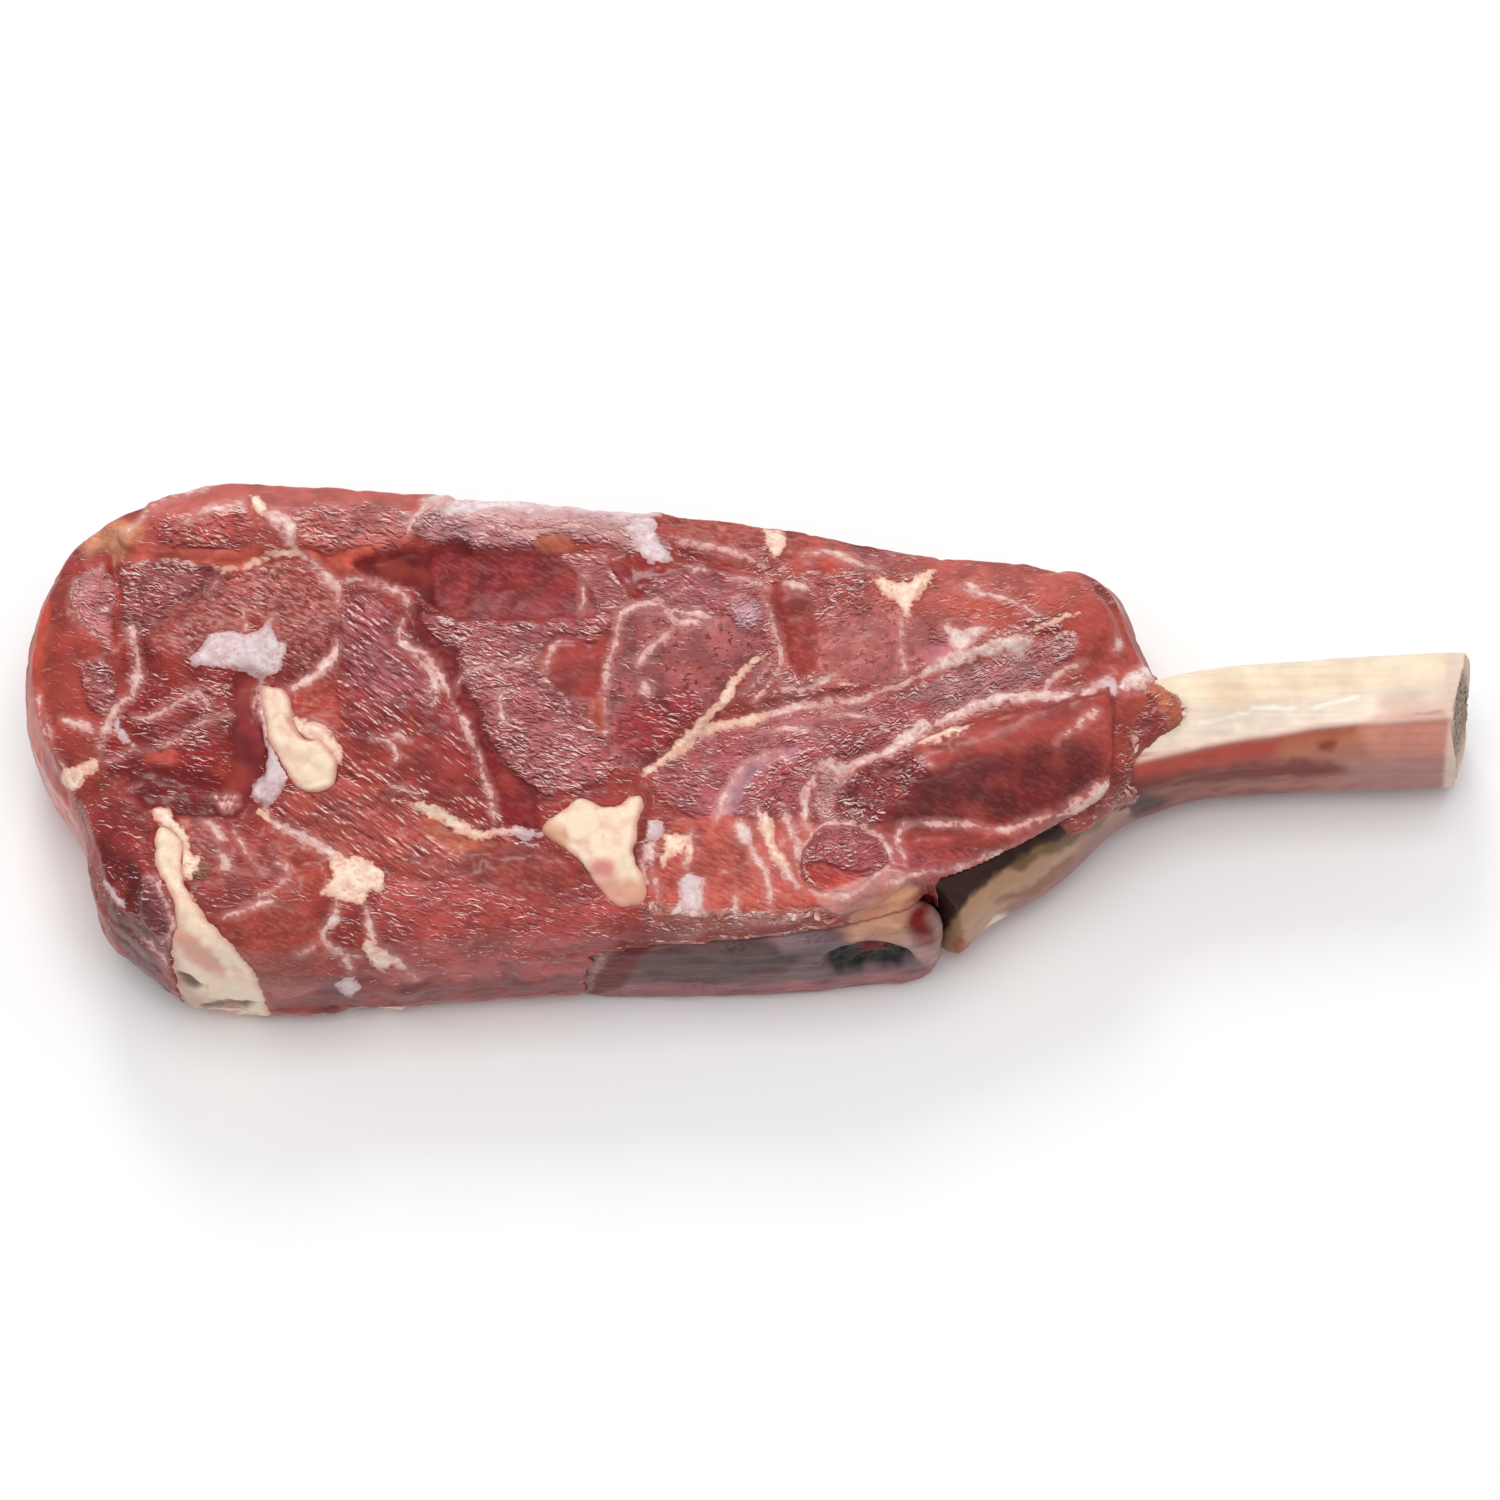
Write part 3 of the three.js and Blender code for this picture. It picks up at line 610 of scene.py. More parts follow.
STRANDS = (
    Strand("cap_blob", "250,500 257,506 262,516", 2.4, FAT),
    Strand("cap_pink", "262,514 276,520 288,524 290,540 296,550", 2.2),
    Strand("cap_join", "266,553 284,552 300,553", 1.9, FAT),
    Strand("cap_left_arm", "270,556 246,564 224,568 216,575", 0.9, FAT, 0.3),
    Strand("cap_left_tip", "217,574 213,584 206,590", 0.5, SEAM, 0.2),
    Strand("cap_right_arm", "296,552 312,562 326,576 337,588 340,604", 1.5, SEAM, 0.4),
    Strand("cap_streak", "194,516 216,509 244,504", 0.7),
    Strand("cap_streak_b", "178,524 196,518 206,522", 0.8),
    Strand("cap_rim", "130,534 150,512 180,494 214,488", 0.7),
    Strand("left_rim", "112,584 96,586 80,592 70,600", 0.55, SEAM, 0.35),
    Strand("left_rim_top", "69,594 74,580 88,571 100,567", 0.5, SEAM, 0.35),
    Strand("left_rim_low", "71,606 86,622 98,636 111,644", 0.6, SEAM, 0.35),
    Strand("left_vertical", "128,622 132,640 136,668 131,693 118,706 108,728 101,750", 1.1, SEAM, 0.3),
    Strand("left_wide", "131,693 116,706 106,728 100,748", 1.7),
    Strand("left_cross", "62,718 80,724 96,730", 1.2),
    Strand("left_film", "118,712 118,728 126,740 134,745", 1.4, FILM, 0.2),
    Strand("left_line_a", "36,690 41,725 56,772", 0.4, SEAM, 0),
    Strand("left_line_b", "46,714 52,745 62,765", 0.35, SEAM, 0),
    Strand("ridge_a", "132,716 160,713 180,700 196,690", 0.5),
    Strand("ridge_b", "104,758 130,748 166,744 194,724 228,712", 0.35),
    Strand("dash_a", "188,690 196,700", 0.5, SEAM, 0),
    Strand("dash_b", "198,690 207,702", 0.5, SEAM, 0),
    Strand("dash_c", "216,793 224,806", 0.5, SEAM, 0),
    Strand("dash_d", "223,790 232,806", 0.5, SEAM, 0),
    Strand("dash_e", "231,790 238,802", 0.4, SEAM, 0),
    Strand("prong_a", "244,606 247,630", 0.6),
    Strand("prong_b", "275,614 270,628", 0.7),
    Strand("eye_side", "338,640 336,650 328,662 312,676 288,690", 1.9, SEAM, 0.3),
    Strand("eye_lobe", "302,722 314,728 328,733", 1.9, SEAM, 0.2),
    Strand("eye_strip", "263,672 260,690 265,706 268,722 263,738 268,748", 1.5, FILM, 0.2),
    Strand("middle_top", "336,582 357,579 382,585 404,594 406,612 399,629 404,643 424,654 438,671 450,699",
        0.85, SEAM, 0.6, 0.06),
    Strand("middle_pink", "412,656 424,664 433,674 435,690 431,706", 1.3),
    Strand("middle_low", "450,699 464,728 476,755 486,785 496,822", 0.55, SEAM, 0.7, 0.1),
    Strand("middle_lumps", "455,712 466,722 472,744", 1.2, SEAM, 0),
    Strand("middle_cluster", "372,738 388,740 396,752 392,762", 1),
    Strand("middle_cluster_b", "388,742 400,734 408,742", 0.8),
    Strand("middle_dash", "392,786 408,790 418,796", 0.8, SEAM, 0),
    Strand("lower", "394,799 418,805 441,814 462,827 482,835 512,830", 2.3, FAT, 0.4, 0.35),
    Strand("lower_film", "476,838 503,831 540,834", 1.6, FILM),
    Strand("top_curl", "408,536 414,522 432,508 458,500", 1.4),
    Strand("crinkle_a", "470,524 500,522 520,532 545,526", 0.5, SEAM, 0.4),
    Strand("crinkle_b", "546,528 570,524 600,528 630,538", 0.6, SEAM, 0.4),
    Strand("kernel_top", "622,612 642,603 664,606 692,612 718,618", 0.95, SEAM, 0.4, 0.12),
    Strand("kernel_fork", "664,607 676,619 692,622 712,627", 1.3),
    Strand("kernel_upper", "640,603 664,598 688,586", 0.6, SEAM, 0.2),
    Strand("kernel_left", "620,614 616,640 608,662 605,690 604,722", 1, SEAM, 0.5),
    Strand("kernel_knot", "607,660 607,680", 1.6),
    Strand("kernel_stroke", "674,626 654,645 639,663", 1.1),
    Strand("kernel_blob", "643,682 648,694", 1.3),
    Strand("centre_arch", "455,690 462,676 484,666 516,662 540,652", 0.9, SEAM, 0.2),
    Strand("centre_side", "500,690 500,708 506,722", 0.9, SEAM, 0.2),
    Strand("centre_streak", "545,668 550,650 558,640", 0.8),
    Strand("kernel_cream", "766,652 750,664 737,680 722,702 706,720 690,736 666,756 642,776", 1.9, FAT, 0.5,
        0.3),
    Strand("kernel_fray_a", "770,660 760,676 744,694", 0.6, SEAM, 0.2),
    Strand("kernel_fray_b", "776,664 768,682 752,700", 0.5, SEAM, 0.2),
    Strand("right_fold", "763,596 772,622 780,650 778,676", 1, SEAM, 0.5),
    Strand("white_ring", "692,572 698,567 706,570", 0.7),
    Strand("white_dashes", "732,576 748,580 768,586", 0.8, SEAM, 0.2),
    Strand("back_fold", "681,541 712,547 735,553 762,564", 1.3),
    Strand("upper_dash", "784,581 808,588", 1.3, SEAM, 0),
    Strand("upper_streaks", "800,556 830,552 850,560 878,566", 1),
    Strand("rib_seam", "664,758 700,733 730,724 770,712 822,701 859,697 899,684 933,671", 1.15, SEAM, 0.5,
        0.12),
    Strand("rib_seam_cream", "676,750 700,732 730,723 766,713", 1.7, FAT),
    Strand("rib_seam_pink", "926,672 960,658 990,649 1024,640", 2.7),
    Strand("rib_seam_end", "1030,634 1052,621 1078,614", 1.4, FAT),
    Strand("thin_upper", "764,690 804,688 830,674 840,674", 0.9, SEAM, 0.3),
    Strand("upper_thread", "900,620 902,656 908,676", 0.8, SEAM, 0.3),
    Strand("thread_foot", "905,660 900,676 890,684", 0.9),
    Strand("shoulder_a", "954,589 980,594 1006,600 1038,614", 0.9),
    Strand("shoulder_b", "968,584 978,590", 1.4),
    Strand("wrinkle_line", "1038,692 1061,672 1086,662", 0.6, SEAM, 0.3),
    Strand("deckle_seam", "800,772 819,768 844,768 862,760 890,751 914,736 939,722 976,705 1006,696"
        " 1037,694 1067,693 1092,684 1108,678", 1.7, SEAM, 0.6, 0.1),
    Strand("deckle_wide", "892,746 914,732 936,722", 3, SEAM, 0),
    Strand("deckle_wide_b", "966,708 990,699 1014,695", 2.4, SEAM, 0),
    Strand("deckle_tan", "916,744 945,734 975,724", 1.7, FAT, 0),
    Strand("deckle_knot", "818,764 828,762 834,768", 1.8, SEAM, 0),
    Strand("deckle_turn", "818,770 806,796 806,822", 1.5, SEAM, 0.2),
    Strand("deckle_film", "1078,690 1094,684 1110,680 1114,694", 1.7, FILM, 0),
    Strand("deckle_end", "1056,742 1076,726 1096,712", 0.8),
    Strand("deckle_dash", "918,758 930,766", 0.6, SEAM, 0),
    Strand("between_line", "779,751 750,760 728,788 716,822", 0.6, SEAM, 0.3),
    Strand("between_a", "760,732 790,728 822,732", 0.5, SEAM, 0.2),
    Strand("between_b", "810,716 850,712 884,722", 0.5, SEAM, 0.2),
    Strand("flap_upper", "905,822 960,826 1000,829 1030,822 1063,811 1091,794 1110,789", 0.7, SEAM, 0.3),
    Strand("flap_rim", "880,884 922,872 967,864 1031,840 1080,816 1112,800", 0.6, SEAM, 0, 0.1),
    Strand("flap_streak", "1060,812 1086,798 1108,782", 1.6, SEAM, 0),
    Strand("oval_ring", "800,872 796,856 808,834 826,823 860,823 886,842 893,862", 0.8, SEAM, 0.5, 0.1),
    Strand("oval_low", "894,862 870,880 856,892 826,896 800,884", 1.1, SEAM, 0.3),
    Strand("oval_right", "905,822 898,838 905,862", 0.7, SEAM, 0.3),
    Strand("streak_a", "729,824 748,842 764,872 772,908", 1),
    Strand("streak_b", "758,806 770,840 784,872 806,892", 1.8),
    Strand("streak_c", "786,808 792,836 800,860", 1.1),
    Strand("streak_d", "655,835 652,870 658,900", 0.8),
    Strand("streak_e", "668,836 690,846 686,862", 1.3, FAT),
    Strand("streak_drop", "737,894 735,912", 1.3, SEAM, 0),
    Strand("shred_a", "692,827 688,848 686,868", 1.1),
    Strand("shred_b", "648,843 644,870 646,884", 0.9),
    Strand("shred_c", "656,875 658,907", 0.5),
    Strand("shred_d", "704,880 703,907", 0.5),
    Strand("shred_e", "766,811 771,843 787,870", 2, FAT),
    Strand("shred_f", "738,824 750,842", 2.4, SEAM, 0),
    Strand("shred_g", "796,830 799,862", 1.2),
    Strand("low_start", "256,808 263,814 270,822", 1.9, FAT, 0.3),
    Strand("low_seam", "262,812 274,823 290,830 306,838 328,850 350,860", 1.9, SEAM, 0.4),
    Strand("low_fork", "338,896 335,917 325,932 328,946 344,956 361,958", 1.1, SEAM, 0.2),
    Strand("low_fork_b", "365,903 369,920 373,940 387,955 401,966 416,980", 1.3),
    Strand("low_fork_c", "344,956 350,966 352,974", 0.9),
    Strand("arc_a", "234,826 244,846 254,858 261,872", 0.5, SEAM, 0.3),
    Strand("arc_b", "276,860 284,864 286,874 272,889 258,893", 0.5, SEAM, 0.3),
    Strand("arc_c", "224,916 240,911 256,906 273,901", 0.8, SEAM, 0.3),
    Strand("corner_flake", "100,884 110,894 121,908", 1.2, FILM),
    Strand("corner_ridge", "141,944 152,954 163,964", 0.8, SEAM, 0.2),
    Strand("bulge_streak", "298,952 308,948 318,942", 0.9),
    Strand("corner_thread", "141,876 154,878 164,898 171,917 169,936 158,946", 0.6, SEAM, 0.3),
    Strand("face_b", "585,572 580,612", 0.25, SEAM, 0.05),
    Strand("lip_a", "655,905 690,915 722,911", 0.9, SEAM, 0),
    Strand("lip_b", "735,918 770,922 802,914", 0.8, SEAM, 0),
    Strand("membrane", "262,674 258,704 268,724 264,740", 1),
)

SPOTS = (
    Spot("eye_white", "186,658 200,648 211,634 222,630 239,632 258,629 270,624 275,632 284,648 285,662"
        " 278,674 264,674 253,671 239,667 216,665 200,664", FILM, 0.7),
    Spot("fan", "60,784 64,768 78,764 96,758 92,772 82,785 72,792", lift=0.4),
    Spot("back_cream", "760,529 784,531 786,542 776,556 768,548"),
    Spot("triangle", "873,576 900,580 936,570 924,590 912,604 905,617 896,604 884,595", lift=0.4),
    Spot("top_fat", "430,504 450,494 500,498 560,503 655,512 655,520 600,517 560,513 500,510 450,517",
        FILM),
    Spot("tongue", "622,524 653,522 659,544 670,556 664,564 648,560 634,544", FILM, 0.4),
    Spot("white_piece", "942,626 969,629 985,626 987,632 975,638 972,647 957,650 948,638", SEAM),
    Spot("white_piece_b", "994,641 1015,635 1034,635 1030,646 1018,654 1002,652", SEAM),
    Spot("low_fat", "327,853 347,855 367,859 383,870 384,880 381,889 367,889 363,903 337,897 323,893"
        " 329,877", lift=0.6),
    Spot("low_fringe", "366,938 380,948 391,954 392,966 380,972 368,962 362,950", lift=0.4),
    Spot("low_blob", "335,984 344,978 357,984 359,992 350,998 337,992", FILM, 0.4),
    Spot("fat_left", "153,808 169,806 177,820 189,833 190,854 201,859 191,877 173,877 157,867 155,849"
        " 159,830", lift=0.6),
    Spot("fat_foot", "169,877 184,878 183,889 170,887", FILM),
    Spot("lump_blob", "219,854 230,853 232,866 222,871", SEAM, 0.4),
    Spot("lump_rim", "200,817 214,822 226,836 224,842 210,830", SEAM),
    Spot("fat_mid", "179,893 189,889 197,905 191,920 177,926 174,912", lift=0.5),
    Spot("cream_scrap", "665,834 680,832 691,836 684,850 672,856 664,870 660,866 664,850", lift=0.4),
    Spot("mauve_scrap", "649,820 664,822 662,836 649,838", FILM, 0.2),
    Spot("white_scrap", "645,845 655,844 654,856 646,862", SEAM),
    Spot("curl", "267,745 282,757 291,774 284,786 272,802 258,801 251,791 254,777 266,769", FILM, 0.9),
    Spot("eye_lobe", "283,708 298,716 316,727 332,736 342,749 341,764 330,756 314,744 298,736 286,726",
        lift=0.8),
    Spot("lilac_square", "683,876 695,874 706,882 701,911 677,909 679,890", FILM, 0.4),
    Spot("end_fat", "1122,681 1129,672 1150,664 1156,672 1151,686 1135,692 1119,689", SEAM, 0.4),
    Spot("end_dot", "1116,640 1122,640 1121,650 1116,649", SEAM, 0.2),
)

CREASES = (
    Crease("cap_step", "112,555 150,565 200,572 236,570", 0.5, 0.7),
    Crease("cap_notch", "111,546 114,560 118,580", 0.9),
    Crease("left_crease", "118,566 116,620 122,640", 0.7, 0.8),
    Crease("facet", "140,636 160,626 190,600 214,578", 0.5, 1),
    Crease("band_top", "345,566 409,550 455,543 480,562 560,567", 0.5, 0.5),
    Crease("band_low", "414,592 455,609 470,617 600,617", 0.3, 0.5),
    Crease("blob_side", "494,530 492,556", 0.6, 0.5),
    Crease("back_groove", "673,553 720,562 766,574", 0.9, 0.7),
    Crease("right_fold", "770,590 782,620 786,650 790,672", 0.6),
    Crease("crack", "816,662 833,637 852,623 878,614", 0.6, 0.5),
    Crease("upper_gap", "806,692 822,682 842,677 862,686", 1, 0.7),
    Crease("eye_gap", "262,680 258,720 260,752 262,790", 0.8, 0.7),
    Crease("wrinkle_low", "930,706 965,694 1010,686 1060,668"),
    Crease("wrinkle_a", "1000,664 1030,656 1060,644", 0.5, 0.5),
    Crease("flap_fold", "905,846 925,836 960,838"),
    Crease("flap_side", "1114,690 1116,730 1114,790", 1.1, 0.8),
    Crease("corner_fold", "150,835 165,870 160,905 165,960", 1, 0.9),
    Crease("lump_fold", "186,838 210,822 240,836", 0.6),
    Crease("low_gap", "108,752 140,762 180,778 230,790", 0.5, 0.9),
)


# ---- sculpting
@dataclass
class Painted:
    """What each point of a skin looks like."""

    colour: np.ndarray
    grain: np.ndarray  # how much of each grain it has
    gloss: np.ndarray
    lift: np.ndarray
    tissue: np.ndarray  # the distance in mm to each kind of tissue, negative on it

    def blend(self, share: np.ndarray, code: str) -> None:
        """Lays a colour over the paint, as strongly at each point as share says."""
        self.colour += share[:, None] * (dry(code) - self.colour)


class Skin:
    """A dense mesh that can be pushed about like clay."""

    BOX_GAP = 0.02  # mm that it stays inside the CAD model's box
    TABLE_GAP = 0.03  # mm that it stays above the table

    def __init__(self, mesh: bpy.types.Mesh, node: str) -> None:
        """Takes a mesh.

        Args:
            mesh: the mesh, in place.
            node: the CAD node that it stands for.
        """
        self.node = node
        self.take(mesh)

    @classmethod
    def over(cls, node: str, voxel: float, rounds: int) -> "Skin":
        """Copies a node and covers it with small even faces.

        Args:
            node: the CAD node that is copied.
            voxel: the width of a face in mm.
            rounds: how often it is then smoothed.

        Returns:
            The skin.
        """
        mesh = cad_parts[node].data.copy()
        work = bmesh.new()
        work.from_mesh(mesh)
        bmesh.ops.remove_doubles(work, verts=work.verts, dist=0.01 * MM)
        work.to_mesh(mesh)
        work.free()
        skin = cls(mesh, node)
        skin.modify("REMESH", mode="VOXEL", voxel_size=voxel * MM)
        skin.smooth(rounds)
        return skin

    def take(self, mesh: bpy.types.Mesh) -> None:
        """Makes a mesh the skin's own, and reads its places, in mm, and its edges.

        Args:
            mesh: the mesh, in place.
        """
        self.mesh = mesh
        self.places = self.read("vertices", "co", 3) / MM
        self.edges = self.read("edges", "vertices", 2).astype(int)

    def modify(self, kind: str, weights: np.ndarray | None = None, **settings) -> None:
        """Runs one modifier over the mesh.

        Args:
            kind: the modifier's type.
            weights: how strongly it acts on each vertex, from 0 to 1.
            settings: the modifier's own properties.
        """
        holder = bpy.data.objects.new("holder", self.mesh)
        bpy.context.scene.collection.objects.link(holder)
        modifier = holder.modifiers.new("change", kind)
        for key, value in settings.items():
            setattr(modifier, key, value)
        if weights is not None:
            group = holder.vertex_groups.new(name="weights")
            for level in np.unique(weights):
                group.add(np.flatnonzero(weights == level).tolist(), float(level), "REPLACE")
            modifier.vertex_group = group.name
        old = self.mesh
        graph = bpy.context.evaluated_depsgraph_get()
        self.take(bpy.data.meshes.new_from_object(holder.evaluated_get(graph)))
        bpy.data.objects.remove(holder)
        bpy.data.meshes.remove(old)

    def read(self, part: str, name: str, width: int) -> np.ndarray:
        """Reads one value of every vertex, edge or face of the mesh.

        Args:
            part: the mesh's list, such as "vertices".
            name: the value.
            width: how many numbers it has.

        Returns:
            One row for each item.
        """
        items = getattr(self.mesh, part)
        values = np.zeros(len(items) * width)
        items.foreach_get(name, values)
        return values.reshape(-1, width)

    def write(self) -> None:
        """Puts the places back into the mesh, in metres."""
        self.mesh.vertices.foreach_set("co", (self.places * MM).ravel())
        self.mesh.update()

    def normals(self, rounds: int = 2) -> np.ndarray:
        """Finds which way each vertex faces, evened out as often as rounds says."""
        self.write()
        return self.averaged(self.read("vertex_normals", "vector", 3), rounds)

    def averaged(self, values: np.ndarray, rounds: int) -> np.ndarray:
        """Evens values out with those of the neighbouring vertices.

        Args:
            values: one row for each vertex.
            rounds: how often that is done.

        Returns:
            The evened values.
        """
        flat = values.reshape(len(values), -1).astype(float)
        first, second = self.edges.T
        count = np.bincount(self.edges.ravel(), minlength=len(flat))[:, None] + 1.0
        for _ in range(rounds):
            columns = [
                np.bincount(first, column[second], len(flat)) + np.bincount(second, column[first], len(flat))
                for column in flat.T
            ]
            flat = (flat + np.stack(columns, 1)) / count
        return flat.reshape(values.shape)

    def smooth(self, rounds: int) -> None:
        """Takes the small steps out of the surface, by as many rounds as given."""
        self.places = self.averaged(self.places, rounds)

    def near_others(self, reach: float) -> np.ndarray:
        """Finds which points lie close to another part of the chop.

        Args:
            reach: how close that is in mm.

        Returns:
            1 where another part touches, falling to 0 at reach.
        """
        nearest = np.full(len(self.places), reach)
        for name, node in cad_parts.items():
            if name == self.node:
                continue
            corners = [vertex.co for vertex in node.data.vertices]
            tree = BVHTree.FromPolygons(corners, [face.vertices for face in node.data.polygons])
            low, high = (np.array(corner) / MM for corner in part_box(name))
            close = np.all((self.places > low - reach) & (self.places < high + reach), axis=1)
            for i in np.flatnonzero(close):
                found = tree.find_nearest(Vector(self.places[i] * MM), nearest[i] * MM)
                if found[0] is not None:
                    nearest[i] = found[3] / MM
        return 1 - nearest / reach

    def drop(self, gone: np.ndarray) -> None:
        """Takes vertices away, with every face that uses one.

        Args:
            gone: True for each vertex that goes.
        """
        self.write()
        work = bmesh.new()
        work.from_mesh(self.mesh)
        work.verts.ensure_lookup_table()
        bmesh.ops.delete(work, geom=[work.verts[i] for i in np.flatnonzero(gone)], context="VERTS")
        work.to_mesh(self.mesh)
        work.free()
        self.take(self.mesh)

    def keep_inside(self) -> None:
        """Brings back what stands out of the CAD model's box or sinks into the table."""
        low, high = (np.array(corner) / MM for corner in CAD_BOX)
        low += self.BOX_GAP
        low[2] = self.TABLE_GAP
        self.places = np.clip(self.places, low, high - self.BOX_GAP)

    def record(self, name: str, values: np.ndarray) -> None:
        """Stores values on the mesh for its material to read.

        Args:
            name: the attribute's name.
            values: one row for each vertex, of 1, 3 or 4 numbers.
        """
        kinds = {1: ("FLOAT", "value"), 3: ("FLOAT_VECTOR", "vector"), 4: ("FLOAT_COLOR", "color")}
        kind, key = kinds[1 if values.ndim == 1 else values.shape[1]]
        attribute = self.mesh.attributes.new(name, kind, "POINT")
        attribute.data.foreach_set(key, values.astype(np.float32).ravel())

    def record_paint(self, look: Painted) -> None:
        """Stores the paint of raw flesh.

        Args:
            look: the paint.
        """
        self.record("tone", with_alpha(look.colour))
        self.record("grain", look.grain[:, :3])
        pits = look.grain[:, Grain.PITTED.value]
        self.record("feel", np.column_stack([look.gloss, pits, np.zeros(len(pits))]))
        self.record("tissue", look.tissue)

    def become(
        self, name: str, material: bpy.types.Material, node: str, slot: str, halved: bool = False
    ) -> None:
        """Turns the skin into one finished piece of the chop, or two.

        Args:
            name: the piece's name.
            material: its finish.
            node: the CAD node that it stands for.
            slot: the record's material slot. Not used.
            halved: whether it is parted in two across X, where it is too dense for one piece.
        """
        if halved:
            self.record("facing", self.normals(0))
        self.write()
        self.mesh.materials.clear()
        self.mesh.materials.append(material)
        self.mesh.shade_smooth()
        if not halved:
            finish_piece(name, self.mesh, node)
            return
        middle = float(np.median(self.places[:, 0])) * MM
        for end, keep_low in (("left", True), ("right", False)):
            half = self.mesh.copy()
            work = bmesh.new()
            work.from_mesh(half)
            gone = [f for f in work.faces if (f.calc_center_median().x < middle) != keep_low]
            bmesh.ops.delete(work, geom=gone, context="FACES")
            work.to_mesh(half)
            work.free()
            facing = np.zeros(len(half.vertices) * 3)
            half.attributes["facing"].data.foreach_get("vector", facing)
            half.normals_split_custom_set_from_vertices(facing.reshape(-1, 3))
            finish_piece(f"{name}_{end}", half, node)
        bpy.data.meshes.remove(self.mesh)


def finish_piece(name: str, mesh: bpy.types.Mesh, node: str) -> None:
    """Puts a finished mesh into the scene as a piece of the chop.

    Args:
        name: the piece's name.
        mesh: its mesh, in place.
        node: the CAD node that it stands for.
    """
    mesh.name = name
    piece = bpy.data.objects.new(name, mesh)
    bpy.context.scene.collection.objects.link(piece)
    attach(piece, "root")
    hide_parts(node)
    log.info("%s: %d triangles", name, sum(len(face.vertices) - 2 for face in mesh.polygons))


SHEEN = 0.02  # the white light that a wet surface adds to its own colour
DARKEST = 0.006  # of what is left below it


def dry(code: str) -> np.ndarray:
    """Turns a hex colour seen in the picture into the linear one below the wet sheen."""
    return np.maximum(np.array(linear(code)[:3]) - SHEEN, DARKEST)


def with_alpha(colour: np.ndarray) -> np.ndarray:
    """Adds an alpha of 1 to each row of a colour."""
    return np.column_stack([colour, np.ones(len(colour))])


def paint(
    where: np.ndarray, base: str, patches: tuple[Patch, ...], noise: Noise, marked: bool = False
) -> Painted:
    """Lays patches, strands and spots over a surface.

    Args:
        where: the pixel that paints each point.
        base: the colour under the patches.
        patches: the looks, each laid over the ones before it.
        noise: what makes edges uneven.
        marked: whether the strands, spots and creases are laid too.

    Returns:
        The look of every point.
    """
    flat = np.column_stack([where * TO_MM, np.zeros(len(where))])
    warp = np.column_stack([noise(flat, 2.8, 3), noise(flat + 40.0, 2.8, 3)])
    wide = where + 7.0 * warp
    where = where + 3.0 * warp
    wobble = noise(flat, 1.8, 2)
    count = len(where)
    look = Painted(
        colour=np.tile(dry(base), (count, 1)),
        grain=np.zeros((count, 4)),
        gloss=np.full(count, 0.4),
        lift=np.zeros(count),
        tissue=np.full((count, len(Tissue)), FAR),
    )
    look.grain[:, CRUMPLED.value] = 0.4
    for patch in patches:
        share = patch.cover(wide if patch.soft > 1.1 else where)
        look.blend(share, patch.colour)
        kinds = np.zeros(4)
        if patch.grain is not Grain.SMOOTH:
            kinds[patch.grain.value] = patch.amount
        look.grain += share[:, None] * (kinds - look.grain)
        look.gloss += share * (patch.gloss - look.gloss)
        look.lift += share * patch.lift
    if not marked:
        return look
    for strand in STRANDS:
        edge, middle = strand.edge(where, wobble)
        kind = strand.tissue.value
        look.tissue[:, kind] = np.minimum(look.tissue[:, kind], edge)
        look.lift -= strand.groove * np.exp(-((middle / (strand.width * 0.5 + 0.7)) ** 2))
        look.lift += 0.2 * strand.width * ease(edge, 0.25, -0.5)
    for spot in SPOTS:
        edge = spot.edge(where, wobble)
        kind = spot.tissue.value
        look.tissue[:, kind] = np.minimum(look.tissue[:, kind], edge)
        look.lift += spot.lift * ease(edge, 0.3, -0.6)
    for crease in CREASES:
        away, share = near_line(where, smoothed(crease.trace))
        ends = ease(np.minimum(share, 1 - share), 0.0, 0.12)
        look.lift -= crease.depth * ends * np.exp(-((away * TO_MM / crease.width) ** 2))
    return look


# ---- finishes
def add_node(
    tree: bpy.types.NodeTree, kind: str, links: dict | tuple | list = (), out: int | str = 0, **settings
) -> bpy.types.NodeSocket:
    """Adds a node with its settings and links.

    Args:
        tree: what it is added to.
        kind: the node's type, a shader node's without its "ShaderNode".
        links: what the inputs get, by name or number or in their order, each a socket or a constant.
        out: which output is given back.
        settings: the node's own properties.

    Returns:
        The output asked for, or None where the node has none.
    """
    node = tree.nodes.new(kind if "Node" in kind else "ShaderNode" + kind)
    for key, value in settings.items():
        setattr(node, key, value)
    for key, value in links.items() if isinstance(links, dict) else enumerate(links):
        if isinstance(value, bpy.types.NodeSocket):
            tree.links.new(value, node.inputs[key])
        else:
            node.inputs[key].default_value = value
    return node.outputs[out] if node.outputs else None


def new_material(name: str) -> tuple[bpy.types.Material, Callable[..., bpy.types.NodeSocket]]:
    """Starts a material with an empty tree.

    Args:
        name: the material's name.

    Returns:
        The material, and the function that adds nodes to it.
    """
    material = bpy.data.materials.new(name)
    material.use_nodes = True
    material.node_tree.nodes.clear()
    return material, partial(add_node, material.node_tree)


# Settings that many nodes share.
TIMES, PLUS, MINUS, TIMES_PLUS, LARGER, SCALED, DOT = (
    {"operation": name}
    for name in ("MULTIPLY", "ADD", "SUBTRACT", "MULTIPLY_ADD", "MAXIMUM", "SCALE", "DOT_PRODUCT")
)
EASED = {"interpolation_type": "SMOOTHSTEP"}
COLOURS = {"data_type": "RGBA"}


